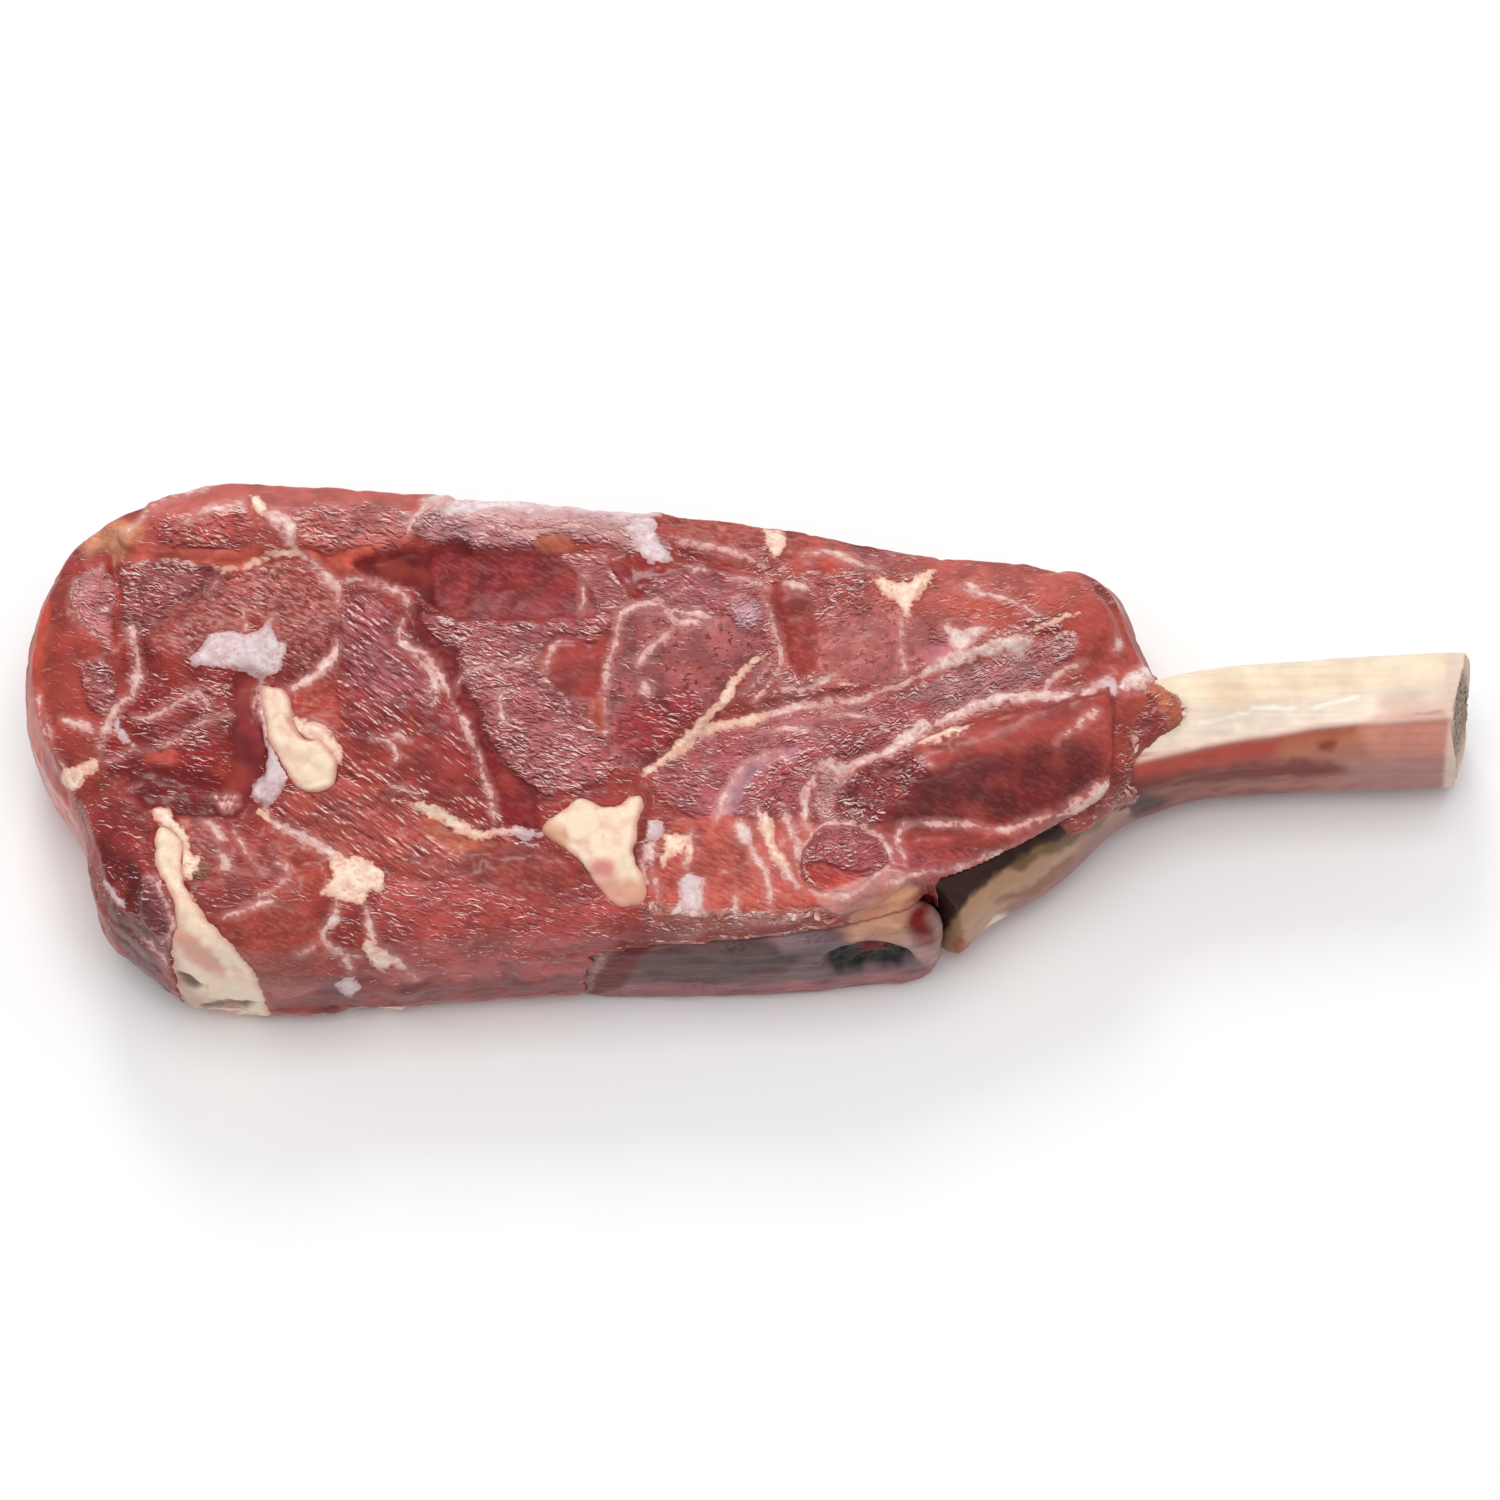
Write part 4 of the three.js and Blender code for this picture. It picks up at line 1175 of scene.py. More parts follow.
@dataclass(frozen=True)
class Fibre:
    """How one grain of the flesh is drawn out."""

    way: float  # degrees from +X
    along: float  # mm that a fold or a fibre end runs
    across: float  # mm between two
    crumpled: float = 0.0


@dataclass(frozen=True)
class RawMuscle:
    """Raw veal, freshly cut across the grain: wet pink-red fibre ends that glint, in a clear juice. Its
    glints and the shade between its folds are partly painted into the colour.
    """

    fibres: tuple[Fibre, ...] = (
        Fibre(-17, 2.4, 1.1, 1.1),  # folds of the wet face, on the left
        Fibre(20, 2.2, 1.5, 2.2),  # the same on the right, where they curl
        Fibre(-38, 3.4, 0.95),  # longer folds
        Fibre(-26, 1.7, 0.62),  # fine fibre ends
    )
    turn: tuple[float, float] = (-12.0, 4.0)  # X in mm between which left gives way to right
    relief: float = 0.48  # mm
    mottle: float = 5.5  # mm between darker and lighter flesh
    flush: float = 6.25  # mm between warmer and cooler flesh
    shine: float = 4.167  # mm between flesh with painted glints and flesh without
    pore: float = 1.0  # mm between two dark pits
    tears: tuple[float, float] = (1.25, 4.545)  # mm between quick and slow waves of a torn edge
    patchy: float = 2.0  # mm between purer and redder tissue
    # painted highlight, on facets that lean towards the light at the back
    glint: str = "#e9c8c2"
    # painted shade, on facets that lean away from the light at the back
    painted_facet_shade: str = "#5f1c21"
    # painted light on the raised tops of the fine fibre ends
    crest: str = "#c98a80"
    # painted shade in the hollows between the fine fibre ends, and the colour of the small dark pits
    pit: str = "#6e2428"
    warm: str = "#b04a38"
    film: tuple[str, str] = ("#e6dbdc", "#cda9ab")  # its middle and its edge
    seam: tuple[str, str] = ("#f0ded6", "#cf938c")
    fat: tuple[str, str] = ("#f5dfcc", "#dfa890")

    def make(self, name: str) -> bpy.types.Material:
        """Builds the material.

        Args:
            name: the material's name.

        Returns:
            The material.
        """
        material, add = new_material(name)
        place = add("VectorMath", {0: add("TexCoord", out="Object"), "Scale": 1 / MM}, **SCALED)
        tone = add("Attribute", out="Color", attribute_name="tone")
        grain, feel, tissue = (
            add("Attribute", out="Vector", attribute_name=layer) for layer in ("grain", "feel", "tissue")
        )
        fine_share, crumple_share, streak_share = (add("SeparateXYZ", [grain], axis) for axis in "XYZ")
        gloss, pit_share = (add("SeparateXYZ", [feel], axis) for axis in "XY")

        # Relief of the cut fibres, as strong as each kind of grain.
        grains = []
        for fibre in self.fibres:
            way = -math.radians(fibre.way)
            turned = add("VectorRotate", {"Vector": place, "Angle": way}, rotation_type="Z_AXIS")
            drawn = add("VectorMath", (turned, (1 / fibre.along, *[1 / fibre.across] * 2)), **TIMES)
            looks = {"Vector": drawn, "Scale": 1.0, "Detail": 1.5, "Distortion": fibre.crumpled}
            grains.append(add("TexNoise", looks))
        left, right, streak, fine = grains
        leaning = add("MapRange", (add("SeparateXYZ", [place]), *self.turn), **EASED)
        crumple = add("Mix", {0: leaning, 2: left, 3: right})
        parts = ((crumple, crumple_share, 1.0), (streak, streak_share, 1.0), (fine, fine_share, 0.5),
                 (crumple, pit_share, 0.3))
        height = 0.0
        for wave, share, strength in parts:
            height = add("Math", (wave, add("Math", (share, strength), **TIMES), height), **TIMES_PLUS)

        # Tissue: each kind shows where its distance is below nought, with a frayed and broken edge.
        torn, drifting = (
            add("Math", (add("TexNoise", {"Vector": place, "Scale": 1 / tear, "Detail": 1.0}), -0.5), **PLUS)
            for tear in self.tears
        )
        thready = add("Math", (fine, -0.5), **PLUS)
        fray = thready
        for wave in (torn, drifting):
            fray = add("Math", (wave, 1.5, fray), **TIMES_PLUS)
        pulls = ((torn, 2.0), (drifting, 2.0), (fine, 0.6))
        threads = add("CombineXYZ", [add("Math", pull, **TIMES) for pull in pulls])
        drawn_out = add("TexNoise", {"Vector": threads, "Scale": 1.6, "Detail": 1.0})
        patches = add("TexNoise", {"Vector": place, "Scale": 1 / self.patchy, "Detail": 2.0})
        pure = (add("MapRange", (drawn_out, 0.3, 0.5), **EASED),
                add("MapRange", (patches, 0.74, 0.34, 0.3, 1.0), **EASED))
        purity = add("Math", pure, **TIMES)
        kinds = {"Z": (self.film, 0.82), "Y": (self.seam, 0.95), "X": (self.fat, 0.98)}
        edges = {
            axis: add("Math", (add("SeparateXYZ", [tissue], axis), fray), **PLUS) for axis in kinds
        }
        masks = {
            axis: add("MapRange", (edges[axis], 0.2, -0.3, 0.0, cover), **EASED)
            for axis, (_, cover) in kinds.items()
        }
        covered = add("Math", (masks["X"], add("Math", (masks["Y"], masks["Z"]), **LARGER)), **LARGER)
        bare = add("Math", (1.0, covered), **MINUS)
        height = add("Math", (height, bare), **TIMES)
        height = add("Math", (add("Math", (thready, 0.3), **TIMES), covered, height), **TIMES_PLUS)
        bump = add("Bump", {"Height": height, "Strength": 1.0, "Distance": self.relief * MM})

        # Painted light and shade: facets that lean away from the eye, towards the light at the back, get a
        # painted glint, and those that lean to it get painted shade.
        level = add("NewGeometry", out="Normal")
        tilt = add("VectorMath", (bump, level), **MINUS)
        tilt = add("VectorMath", (tilt, (0.2, 0.9, 0.4)), "Value", **DOT)
        stretches = add("TexNoise", {"Vector": place, "Scale": 1 / self.shine, "Detail": 2.0})
        dashes = (add("MapRange", (stretches, 0.38, 0.58, 0.14, 1.1), **EASED),
                  add("MapRange", (torn, -0.16, 0.06, 0.15, 1.0), **EASED))
        lit = add("Math", (add("MapRange", (tilt, 0.05, 0.2, 0.0, 0.82), **EASED), bare), **TIMES)
        lit = add("Math", (lit, add("Math", dashes, **TIMES)), **TIMES)
        dark = add("Math", (add("MapRange", (tilt, -0.05, -0.28, 0.0, 0.8), **EASED), bare), **TIMES)

        # The flesh itself, darker and lighter, redder and paler in soft clouds.
        cloud = add("TexNoise", {"Vector": place, "Scale": 1 / self.mottle, "Detail": 2.0})
        light = add("MapRange", (cloud, 0.3, 0.7, 0.74, 1.28), **EASED)
        body = add("VectorMath", {0: tone, "Scale": light}, **SCALED)
        blush = add("TexNoise", {"Vector": place, "Scale": 1 / self.flush, "Detail": 1.0})
        holes = add("TexNoise", {"Vector": place, "Scale": 1 / self.pore, "Detail": 2.0})
        pits = add("Math", (add("MapRange", (holes, 0.46, 0.38, 0.0, 0.9), **EASED), pit_share), **TIMES)
        pits = add("Math", (pits, add("MapRange", (cloud, 0.4, 0.55, 0.35, 1.0), **EASED)), **TIMES)
        # Painted light and shade on the fine fibre ends: lighter on their raised tops, darker in the hollows
        # between them.
        crests, dips = (
            add("Math", (add("MapRange", (fine, *limits), **EASED), fine_share), **TIMES)
            for limits in ((0.5, 0.6, 0.0, 0.5), (0.48, 0.38, 0.0, 0.6))
        )
        # Laid over the flesh in turn: a warmer flush, the painted light and shade of the fine fibre ends,
        # dark pits, painted facet shade, a pink halo by the seams and painted glints.
        layers = (
            (add("MapRange", (blush, 0.5, 0.68, 0.0, 0.3), **EASED), self.warm),
            (crests, self.crest),
            (dips, self.pit),
            (pits, self.pit),
            (dark, self.painted_facet_shade),
            (add("MapRange", (edges["Y"], 1.3, 0.1, 0.0, 0.28), **EASED), self.seam[1]),
            (lit, self.glint),
        )
        for share, code in layers:
            body = add("Mix", {0: share, 6: body, 7: linear(code)}, 2, **COLOURS)
        for axis, ((core, rim), _) in kinds.items():
            middle = add("Math", (add("MapRange", (edges[axis], 0.05, -1.0), **EASED), purity), **TIMES)
            fibrous = add("Mix", {0: middle, 6: linear(rim), 7: linear(core)}, 2, **COLOURS)
            body = add("Mix", {0: masks[axis], 6: body, 7: fibrous}, 2, **COLOURS)

        rough = add("Mix", {0: covered, 2: add("Math", (gloss, -0.3, 0.56), **TIMES_PLUS), 3: 0.38})
        shader = add("BsdfPrincipled", {
            "Base Color": body, "Roughness": rough, "Normal": bump, "IOR": 1.4,
            "Subsurface Weight": 0.1, "Subsurface Radius": (1.0, 0.32, 0.22), "Subsurface Scale": 1.0 * MM,
            "Coat Weight": add("Math", (gloss, 0.5), **TIMES), "Coat Roughness": 0.15, "Coat IOR": 1.34,
        })
        add("OutputMaterial", {"Surface": shader})
        return material


@dataclass(frozen=True)
class SoftFat:
    """Raw veal fat: waxy, cream with a touch of pink, in soft lobules."""

    lobule: float = 2.6  # mm across
    wax: float = 0.909  # mm between the small dents of its face
    blush: float = 3.333  # mm between creamier and pinker fat
    cream: str = "#f3dcc4"
    peach: str = "#dca083"

    def make(self, name: str) -> bpy.types.Material:
        """Builds the material.

        Args:
            name: the material's name.

        Returns:
            The material.
        """
        material, add = new_material(name)
        place = add("VectorMath", {0: add("TexCoord", out="Object"), "Scale": 1 / MM}, **SCALED)
        tone = add("Attribute", out="Color", attribute_name="tone")
        lobules = {"Vector": place, "Scale": 1 / self.lobule, "Smoothness": 0.7}
        cells = add("TexVoronoi", lobules, feature="SMOOTH_F1")
        fine = add("TexNoise", {"Vector": place, "Scale": 1 / self.wax, "Detail": 3.0, "Distortion": 0.4})
        pinker = add("TexNoise", {"Vector": place, "Scale": 1 / self.blush, "Detail": 4.0, "Distortion": 0.5})
        pinker = add("MapRange", (pinker, 0.52, 0.72, 0.0, 0.45), **EASED)
        body = add("Mix", {0: pinker, 6: tone, 7: linear(self.peach)}, 2, **COLOURS)
        height = add("Math", (cells, -0.8, add("Math", (fine, 0.6), **TIMES)), **TIMES_PLUS)
        bump = add("Bump", {"Height": height, "Strength": 0.7, "Distance": 0.4 * MM})
        shader = add("BsdfPrincipled", {
            "Base Color": body, "Roughness": 0.42, "Normal": bump, "IOR": 1.45,
            "Subsurface Weight": 0.35, "Subsurface Radius": (1.0, 0.55, 0.4), "Subsurface Scale": 2.0 * MM,
            "Coat Weight": 0.2, "Coat Roughness": 0.2,
        })
        add("OutputMaterial", {"Surface": shader})
        return material


@dataclass(frozen=True)
class WetBone:
    """Bone with its skin scraped off: hard, damp, streaked along its length, cream, pink and red."""

    streak_across: float = 1.2  # mm between two streaks
    streak_along: float = 16.0  # mm that a streak runs
    streaky: float = 0.06  # how much darker and lighter the streaks are
    cloud: float = 7.692  # mm between darker and lighter bone
    roughness: float = 0.4
    bump: float = 0.14  # mm
    pores: float = 0.9  # how strongly the sponge of sawn bone shows
    pore: float = 0.9  # mm between two pores
    shade: str = "#4a332a"

    def make(self, name: str) -> bpy.types.Material:
        """Builds the material.

        Args:
            name: the material's name.

        Returns:
            The material.
        """
        material, add = new_material(name)
        tone = add("Attribute", out="Color", attribute_name="tone")
        grain = add("Attribute", out="Vector", attribute_name="grain")
        sponge = add("Attribute", out="Fac", attribute_name="sponge")
        drawn = (1 / self.streak_along, *[1 / self.streak_across] * 2)
        drawn = add("VectorMath", (grain, drawn), **TIMES)
        streak = add("TexNoise", {"Vector": drawn, "Scale": 1.0, "Detail": 3.0, "Distortion": 0.2})
        clouds = add("TexNoise", {"Vector": grain, "Scale": 1 / self.cloud, "Detail": 3.0})
        shades = (add("MapRange", (streak, 0.3, 0.7, 1 - self.streaky, 1 + self.streaky * 0.7), **EASED),
                  add("MapRange", (clouds, 0.3, 0.7, 0.92, 1.06), **EASED))
        body = add("VectorMath", {0: tone, "Scale": add("Math", shades, **TIMES)}, **SCALED)
        cells = add("TexVoronoi", {"Vector": grain, "Scale": 1 / self.pore})
        hole = add("MapRange", (cells, 0.45, 0.2, 0.0, self.pores), **EASED)
        hole = add("Math", (hole, sponge), **TIMES)
        body = add("Mix", {0: hole, 6: body, 7: linear(self.shade)}, 2, **COLOURS)
        height = add("Math", (hole, -2.0, streak), **TIMES_PLUS)
        bump = add("Bump", {"Height": height, "Strength": 0.9, "Distance": self.bump * MM})
        shader = add("BsdfPrincipled", {
            "Base Color": body, "Roughness": self.roughness, "Normal": bump, "IOR": 1.5,
            "Specular IOR Level": 0.25,
            "Subsurface Weight": 0.15, "Subsurface Radius": (1.0, 0.55, 0.4), "Subsurface Scale": 1.4 * MM,
            "Coat Weight": 0.04, "Coat Roughness": 0.25,
        })
        add("OutputMaterial", {"Surface": shader})
        return material


# ---- the pieces
@dataclass(frozen=True)
class Push:
    """A nudge to the outline of the slice."""

    middle: tuple[float, float]  # X and Y in mm
    by: tuple[float, float]  # mm along X and Y
    reach: float = 13.0  # mm over which it fades out

    def share(self, places: np.ndarray) -> np.ndarray:
        """Says how far each place, one row each in mm, gives way along X and Y."""
        away = np.hypot(places[:, 0] - self.middle[0], places[:, 1] - self.middle[1])
        return ease(away, self.reach, 0.0)[:, None] * np.array(self.by)


@dataclass
class Flesh:
    """The muscles of the slice, as one skin that is parted in two pieces."""

    eye: PictureEye
    voxel: float = 0.52
    cover: float = 35.0  # the height of the upper face, whose pattern the hidden sides carry
    swell: float = 0.45  # mm of the broad unevenness
    dimple: float = 0.22  # mm of the finer unevenness
    settle: float = 0.55  # mm that the skin sinks, to leave room for what stands proud
    base: str = "#94413d"
    outer: str = "#a03c32"
    veil: str = "#b97f78"  # of the thin skin on the back edge
    sheet: str = "#dfc4b8"  # of the fat in it
    pushes: tuple[Push, ...] = (
        Push((-121, 38), (-1.8, 1.8)),
        Push((-117, -34), (-1.3, -1.1), 12),
        Push((66, 27), (1.8, 1.6)),
    )
    flap: Trace = "935,892 1006,866 1073,832 1120,806"  # the lower edge of the flap over the rib
    flap_back: float = 2.0  # mm that it is moved back
    headroom: float = 1.2  # mm under the box's top from which a swell is pressed flatter
    noise: Noise = field(default_factory=lambda: Noise(11))

    def build(self) -> None:
        """Sculpts, paints and finishes the flesh."""
        skin = Skin.over("meat", self.voxel, 0)
        self.thin_out(skin)
        skin.smooth(2)
        for push in self.pushes:
            skin.places[:, :2] += push.share(skin.places)
        away, _ = near_line(self.eye.project(skin.places), smoothed(self.flap))
        skin.places[:, 1] += self.flap_back * np.exp(-((away * TO_MM / 4.0) ** 2))
        normals = skin.normals()
        where = self.eye.shown_at(skin.places, normals, self.cover)
        look = paint(where, self.base, MUSCLES, self.noise, marked=True)
        upright = 1 - ease(np.abs(normals[:, 2]), 0.25, 0.7)
        side = upright * ease(normals[:, 1], -0.5, 0.1)
        self.sculpt(skin, normals, look, side)
        self.dress(skin, normals, look, side)
        skin.become("muscle", RawMuscle().make("raw_muscle"), "meat", "meat", halved=True)

    def thin_out(self, skin: Skin) -> None:
        """Takes most faces off the underside, which lies on the table.

        Args:
            skin: the flesh.
        """
        below = ease(-skin.normals(0)[:, 2], 0.4, 0.8) * ease(skin.places[:, 2], 9.0, 5.0)
        share = float(np.mean(below > 0.5))
        skin.modify("DECIMATE", np.round(below, 1), ratio=1 - 0.9 * share)

    def sculpt(self, skin: Skin, normals: np.ndarray, look: Painted, side: np.ndarray) -> None:
        """Moves the skin to the swells, seams and folds that the paint names.

        Args:
            skin: the flesh.
            normals: which way each of its points faces.
            look: the paint.
            side: how much each point belongs to the outer side, from 0 to 1.
        """
        places = skin.places
        rough = 0.4 + 0.7 * look.grain.sum(axis=1)
        relief = self.swell * self.noise(places, 9.0, 2)
        relief += self.dimple * rough * self.noise(places + 60.0, 3.6, 2)
        relief += 0.12 * rough * self.noise(places + 90.0, 1.4)
        crossing = np.abs(self.noise(places * (1, 1.5, 1) + 30.0, 7.0, 3))
        fold = rough * ease(crossing, 0.07, 0.0) * (1 - side)
        relief += 0.3 * rough * ease(crossing, 0.0, 0.25) - 0.35 * fold
        fatty = ease(-look.tissue[:, FAT.value], 0.1, 1.0)
        relief += fatty * (0.8 * self.noise(places, 2.6, 2) - relief)
        # Painted shade: the flesh is darkened along the folds.
        look.colour *= (1 - 0.3 * ease(fold, 0.2, 0.9))[:, None]
        on_table = ease(places[:, 2], 2.5, 0.6) * ease(-normals[:, 2], 0.5, 0.9)
        lift = np.clip(look.lift, -2.4, 1.8) * (1 - 0.7 * side) * (1 - 0.8 * ease(-normals[:, 2], 0.2, 0.6))
        touching = ease(skin.near_others(1.6), 0.1, 0.8)
        moved = relief * (1 - 0.8 * on_table) + lift - self.settle
        moved += touching * (0.45 - moved)
        moved = skin.averaged(moved, 1) * (1 - 0.9 * on_table)
        skin.places = places + normals * moved[:, None]
        limit = CAD_BOX[1][2] / MM - self.headroom
        over = skin.places[:, 2] - limit
        skin.places[:, 2] = np.where(over > 0, limit + 1.15 * np.tanh(over / 1.3), skin.places[:, 2])
        skin.keep_inside()

    def dress(self, skin: Skin, normals: np.ndarray, look: Painted, side: np.ndarray) -> None:
        """Stores the paint on the skin, with the outer side as plain muscle under thin skin and fat.

        Args:
            skin: the flesh.
            normals: which way each of its points faces.
            look: the paint.
            side: how much each point belongs to the outer side, from 0 to 1.
        """
        look.blend(0.75 * side, self.outer)
        back = side * ease(normals[:, 1], 0.1, 0.6)
        layers = ((self.veil, 9.0, -0.15, 0.35, 0.7), (self.sheet, 6.0, 0.08, 0.36, 0.75))
        for code, size, low, high, share in layers:
            spread = self.noise(skin.places * (0.5, 1, 1.7) + 7.0 * size, size, 4)
            look.blend(share * back * ease(spread, low, high), code)
        look.grain *= (1 - 0.75 * side)[:, None]
        look.grain[:, STREAKED.value] = np.maximum(look.grain[:, STREAKED.value], 0.5 * back)
        look.gloss += side * (0.15 - look.gloss)
        look.tissue += (FAR * ease(back, 0.3, 0.6))[:, None]
        skin.record_paint(look)


@dataclass
class FatLumps:
    """The three lumps of fat that run through the slice."""

    eye: PictureEye
    voxel: float = 0.45
    swell: float = 0.35  # mm that each overlaps the flesh round it
    lobe: float = 3.0  # mm between two lobules
    nodes: tuple[str, ...] = ("fat_lump_backbone", "fat_lump_eye", "fat_lump_corner")
    rim: str = "#d99a8c"
    noise: Noise = field(default_factory=lambda: Noise(23))
    patches: tuple[Patch, ...] = (
        Patch("peach_end", "598,884 640,880 650,905 632,925 606,925", "#dba68e", soft=3),
        Patch("peach_left", "536,826 552,822 570,836 560,850", "#e3b396", soft=2),
        Patch("pink_spot", "590,862 612,860 614,878 594,878", "#d9938a", soft=2.5),
        Patch("pink_neck", "168,922 188,930 214,952 226,972 200,966 178,946", "#dba695", soft=2),
        # Painted shade: the foot is painted greyer where the fat turns down to the table, and the crevices
        # are painted dark.
        Patch("grey_foot", "163,946 175,950 190,985 230,1003 200,1010 160,985", "#c9ac9a", soft=2.5),
        Patch("crevice", "174,972 186,975 202,982 196,987 180,982", "#7a5a50", lift=-0.9, soft=0.8),
        Patch("crevice_low", "200,1004 226,999 256,1004 228,1008", "#8d6a60", lift=-0.6, soft=0.9),
        Patch("stem_side", "270,690 284,690 292,712 300,724 284,730 272,716", "#eed2bc", lift=0.3,
            soft=1.4),
        Patch("lobe_gap", "286,716 304,726 318,740 306,742 290,730", "#d2a08a", lift=-0.7, soft=0.9),
    )

    def build(self) -> None:
        """Sculpts and finishes the lumps."""
        material = SoftFat().make("soft_fat")
        for node in self.nodes:
            skin = Skin.over(node, self.voxel, 3)
            normals = skin.normals()
            where = self.eye.shown_at(skin.places, normals, Flesh.cover)
            look = paint(where, SoftFat.cream, self.patches, self.noise)
            top = ease(normals[:, 2], 0.3, 0.8)
            lobes = self.lobules(skin.places)
            relief = 0.6 * self.noise(skin.places, 4.5, 2) + 0.9 * lobes + self.swell + look.lift
            on_table = ease(skin.places[:, 2], 2.5, 0.6)
            skin.places += normals * (relief * (1 - 0.95 * on_table) + 0.15 * top)[:, None]
            skin.keep_inside()
            rim = 0.75 * ease(skin.near_others(1.5) + 0.25 * self.noise(skin.places, 1.6, 2), 0.0, 0.7)
            look.blend(np.maximum(rim, 0.35 * ease(lobes, -0.1, -0.4) * top), self.rim)
            skin.record("tone", with_alpha(look.colour))
            skin.become(node.replace("fat_lump", "fat"), material, node, "fat")

    def lobules(self, places: np.ndarray) -> np.ndarray:
        """Reads the swells of the lobules.

        Args:
            places: points in mm, one row each.

        Returns:
            0.5 on the middle of a lobule and about -0.5 between two.
        """
        warp = np.column_stack([self.noise(places + step, self.lobe) for step in (0, 9, 18)])
        return 0.5 - self.noise.pebbles(places + 0.8 * warp, self.lobe)


@dataclass
class Rib:
    """The long rib, bare in front of the slice and scraped clean beyond it."""

    eye: PictureEye
    voxel: float = 0.55
    reach: float = 12.0  # mm of the rib's end that its slant is spread over
    base: str = "#ead6c2"
    hidden: str = "#a8706c"  # of the side that faces down
    sawn: str = "#d3a791"
    marrow: str = "#9c8570"
    crest: str = "#edcfc2"
    ridge: Trace = "1138,760 1176,751 1227,740 1279,733 1330,724 1381,721 1449,716"
    near_rim: Trace = "1463,640 1463,661 1457,697 1453,722 1453,773 1448,795"  # of the sawn end
    far_rim: Trace = "1463,640 1474,660 1476,681 1475,709 1469,735 1462,763 1450,795"
    sponge: Trace = "1462,668 1470,690 1470,715 1464,740 1458,765 1452,786 1454,740 1457,700"
    noise: Noise = field(default_factory=lambda: Noise(37))
    patches: tuple[Patch, ...] = (
        Patch("warm_top", "1150,668 1300,656 1460,650 1460,676 1330,690 1200,704 1150,716", "#f0dcc2",
            soft=4),
        Patch("white_band", "1190,724 1263,708 1330,699 1396,694 1462,690 1460,716 1381,722 1300,728"
            " 1190,748", "#efdccb", soft=2.4),
        Patch("pink_corner", "1380,700 1456,696 1453,716 1390,720", "#e2b8a8", soft=3, strength=0.5),
        Patch("peach_top", "1212,682 1249,680 1250,700 1214,702", "#ecd0b4", soft=4),
        Patch("scrape_a", "1200,722 1225,716 1249,712 1249,714 1226,719 1201,724", "#f8efdc", soft=0.5),
        Patch("scrape_b", "1254,707 1293,706 1293,709 1254,710", "#fbf4e8", soft=0.5),
        Patch("scrape_c", "1312,706 1335,700 1356,695 1357,698 1336,703 1313,709", "#fbf4e8", soft=0.5),
        Patch("front", "1120,764 1180,750 1279,733 1381,721 1452,716 1452,800 1100,840", "#b87a6c",
            soft=0.7),
        Patch("front_red", "1130,764 1200,749 1290,734 1345,727 1370,730 1300,752 1200,772 1120,790",
            "#b3564b", soft=2.4),
        Patch("front_mottle", "1285,742 1340,730 1400,726 1380,748 1320,760 1285,758", "#bd7f62", soft=4,
            strength=0.7),
        Patch("front_spot", "1318,744 1336,742 1334,750 1320,752", "#95493a", soft=2),
        Patch("front_pink", "1370,724 1453,718 1452,760 1380,762", "#d29080", soft=4),
        Patch("front_mauve", "1350,760 1452,756 1452,782 1350,784", "#b27c74", soft=3),
        Patch("front_deep", "1128,782 1200,768 1300,758 1340,764 1335,776 1240,784 1120,806", "#7d3429",
            soft=2.6),
        Patch("front_foot", "1100,812 1200,794 1310,786 1310,802 1200,814 1100,832", "#8a4f48", soft=1.8),
        Patch("front_crease", "1150,790 1200,782 1310,774 1310,778 1200,787 1150,796", "#a0705c", soft=0.8,
            strength=0.7),
        Patch("pink_foot", "1300,790 1380,784 1452,782 1452,798 1380,804 1300,806", "#ad7068", soft=2.4),
        Patch("foot_dark", "1100,800 1150,792 1165,800 1140,814 1100,826", "#4e2c24", soft=2),
        Patch("end_rim", "1446,650 1458,648 1457,800 1443,800 1448,725", "#e9cfc0", soft=1, strength=0.8),
        Patch("inner", "900,990 915,930 943,905 985,870 1030,846 1080,822 1110,805 1130,812 1092,832"
            " 1070,872 1040,898 1004,912 986,926 960,960", "#b48a6a", soft=0.7),
        Patch("inner_foot", "1010,904 1044,886 1068,858 1092,828 1130,812 1130,830 1075,880 1040,905"
            " 1004,916", "#a0746c", soft=1.6),
        Patch("inner_stain", "998,898 1030,884 1069,855 1072,862 1040,890 1002,904", "#8a5230",
            strength=0.8),
        Patch("inner_spot", "950,944 962,936 970,944 960,956", "#a8552a", soft=1.4),
        Patch("inner_tip", "925,960 950,952 960,966 940,985", "#bb877a", soft=1.4),
        # Painted shade: the recess between the backbone and the rib is dark red flesh painted darker still,
        # and the strip under the flap is painted dark as its shadow.
        Patch("recess_red", "900,935 912,880 940,868 944,900 932,930 924,948", "#5a1f1e", soft=1.8),
        Patch("flap_shadow", "926,876 960,860 1000,845 1050,825 1100,800 1108,806 1086,828 1066,840"
            " 1030,856 1004,870 982,888 964,904 948,926 936,948 928,930", "#453431", soft=1.3),
        Patch("recess_brown", "1010,862 1060,838 1104,812 1098,824 1062,848 1020,868", "#75583f"),
    )

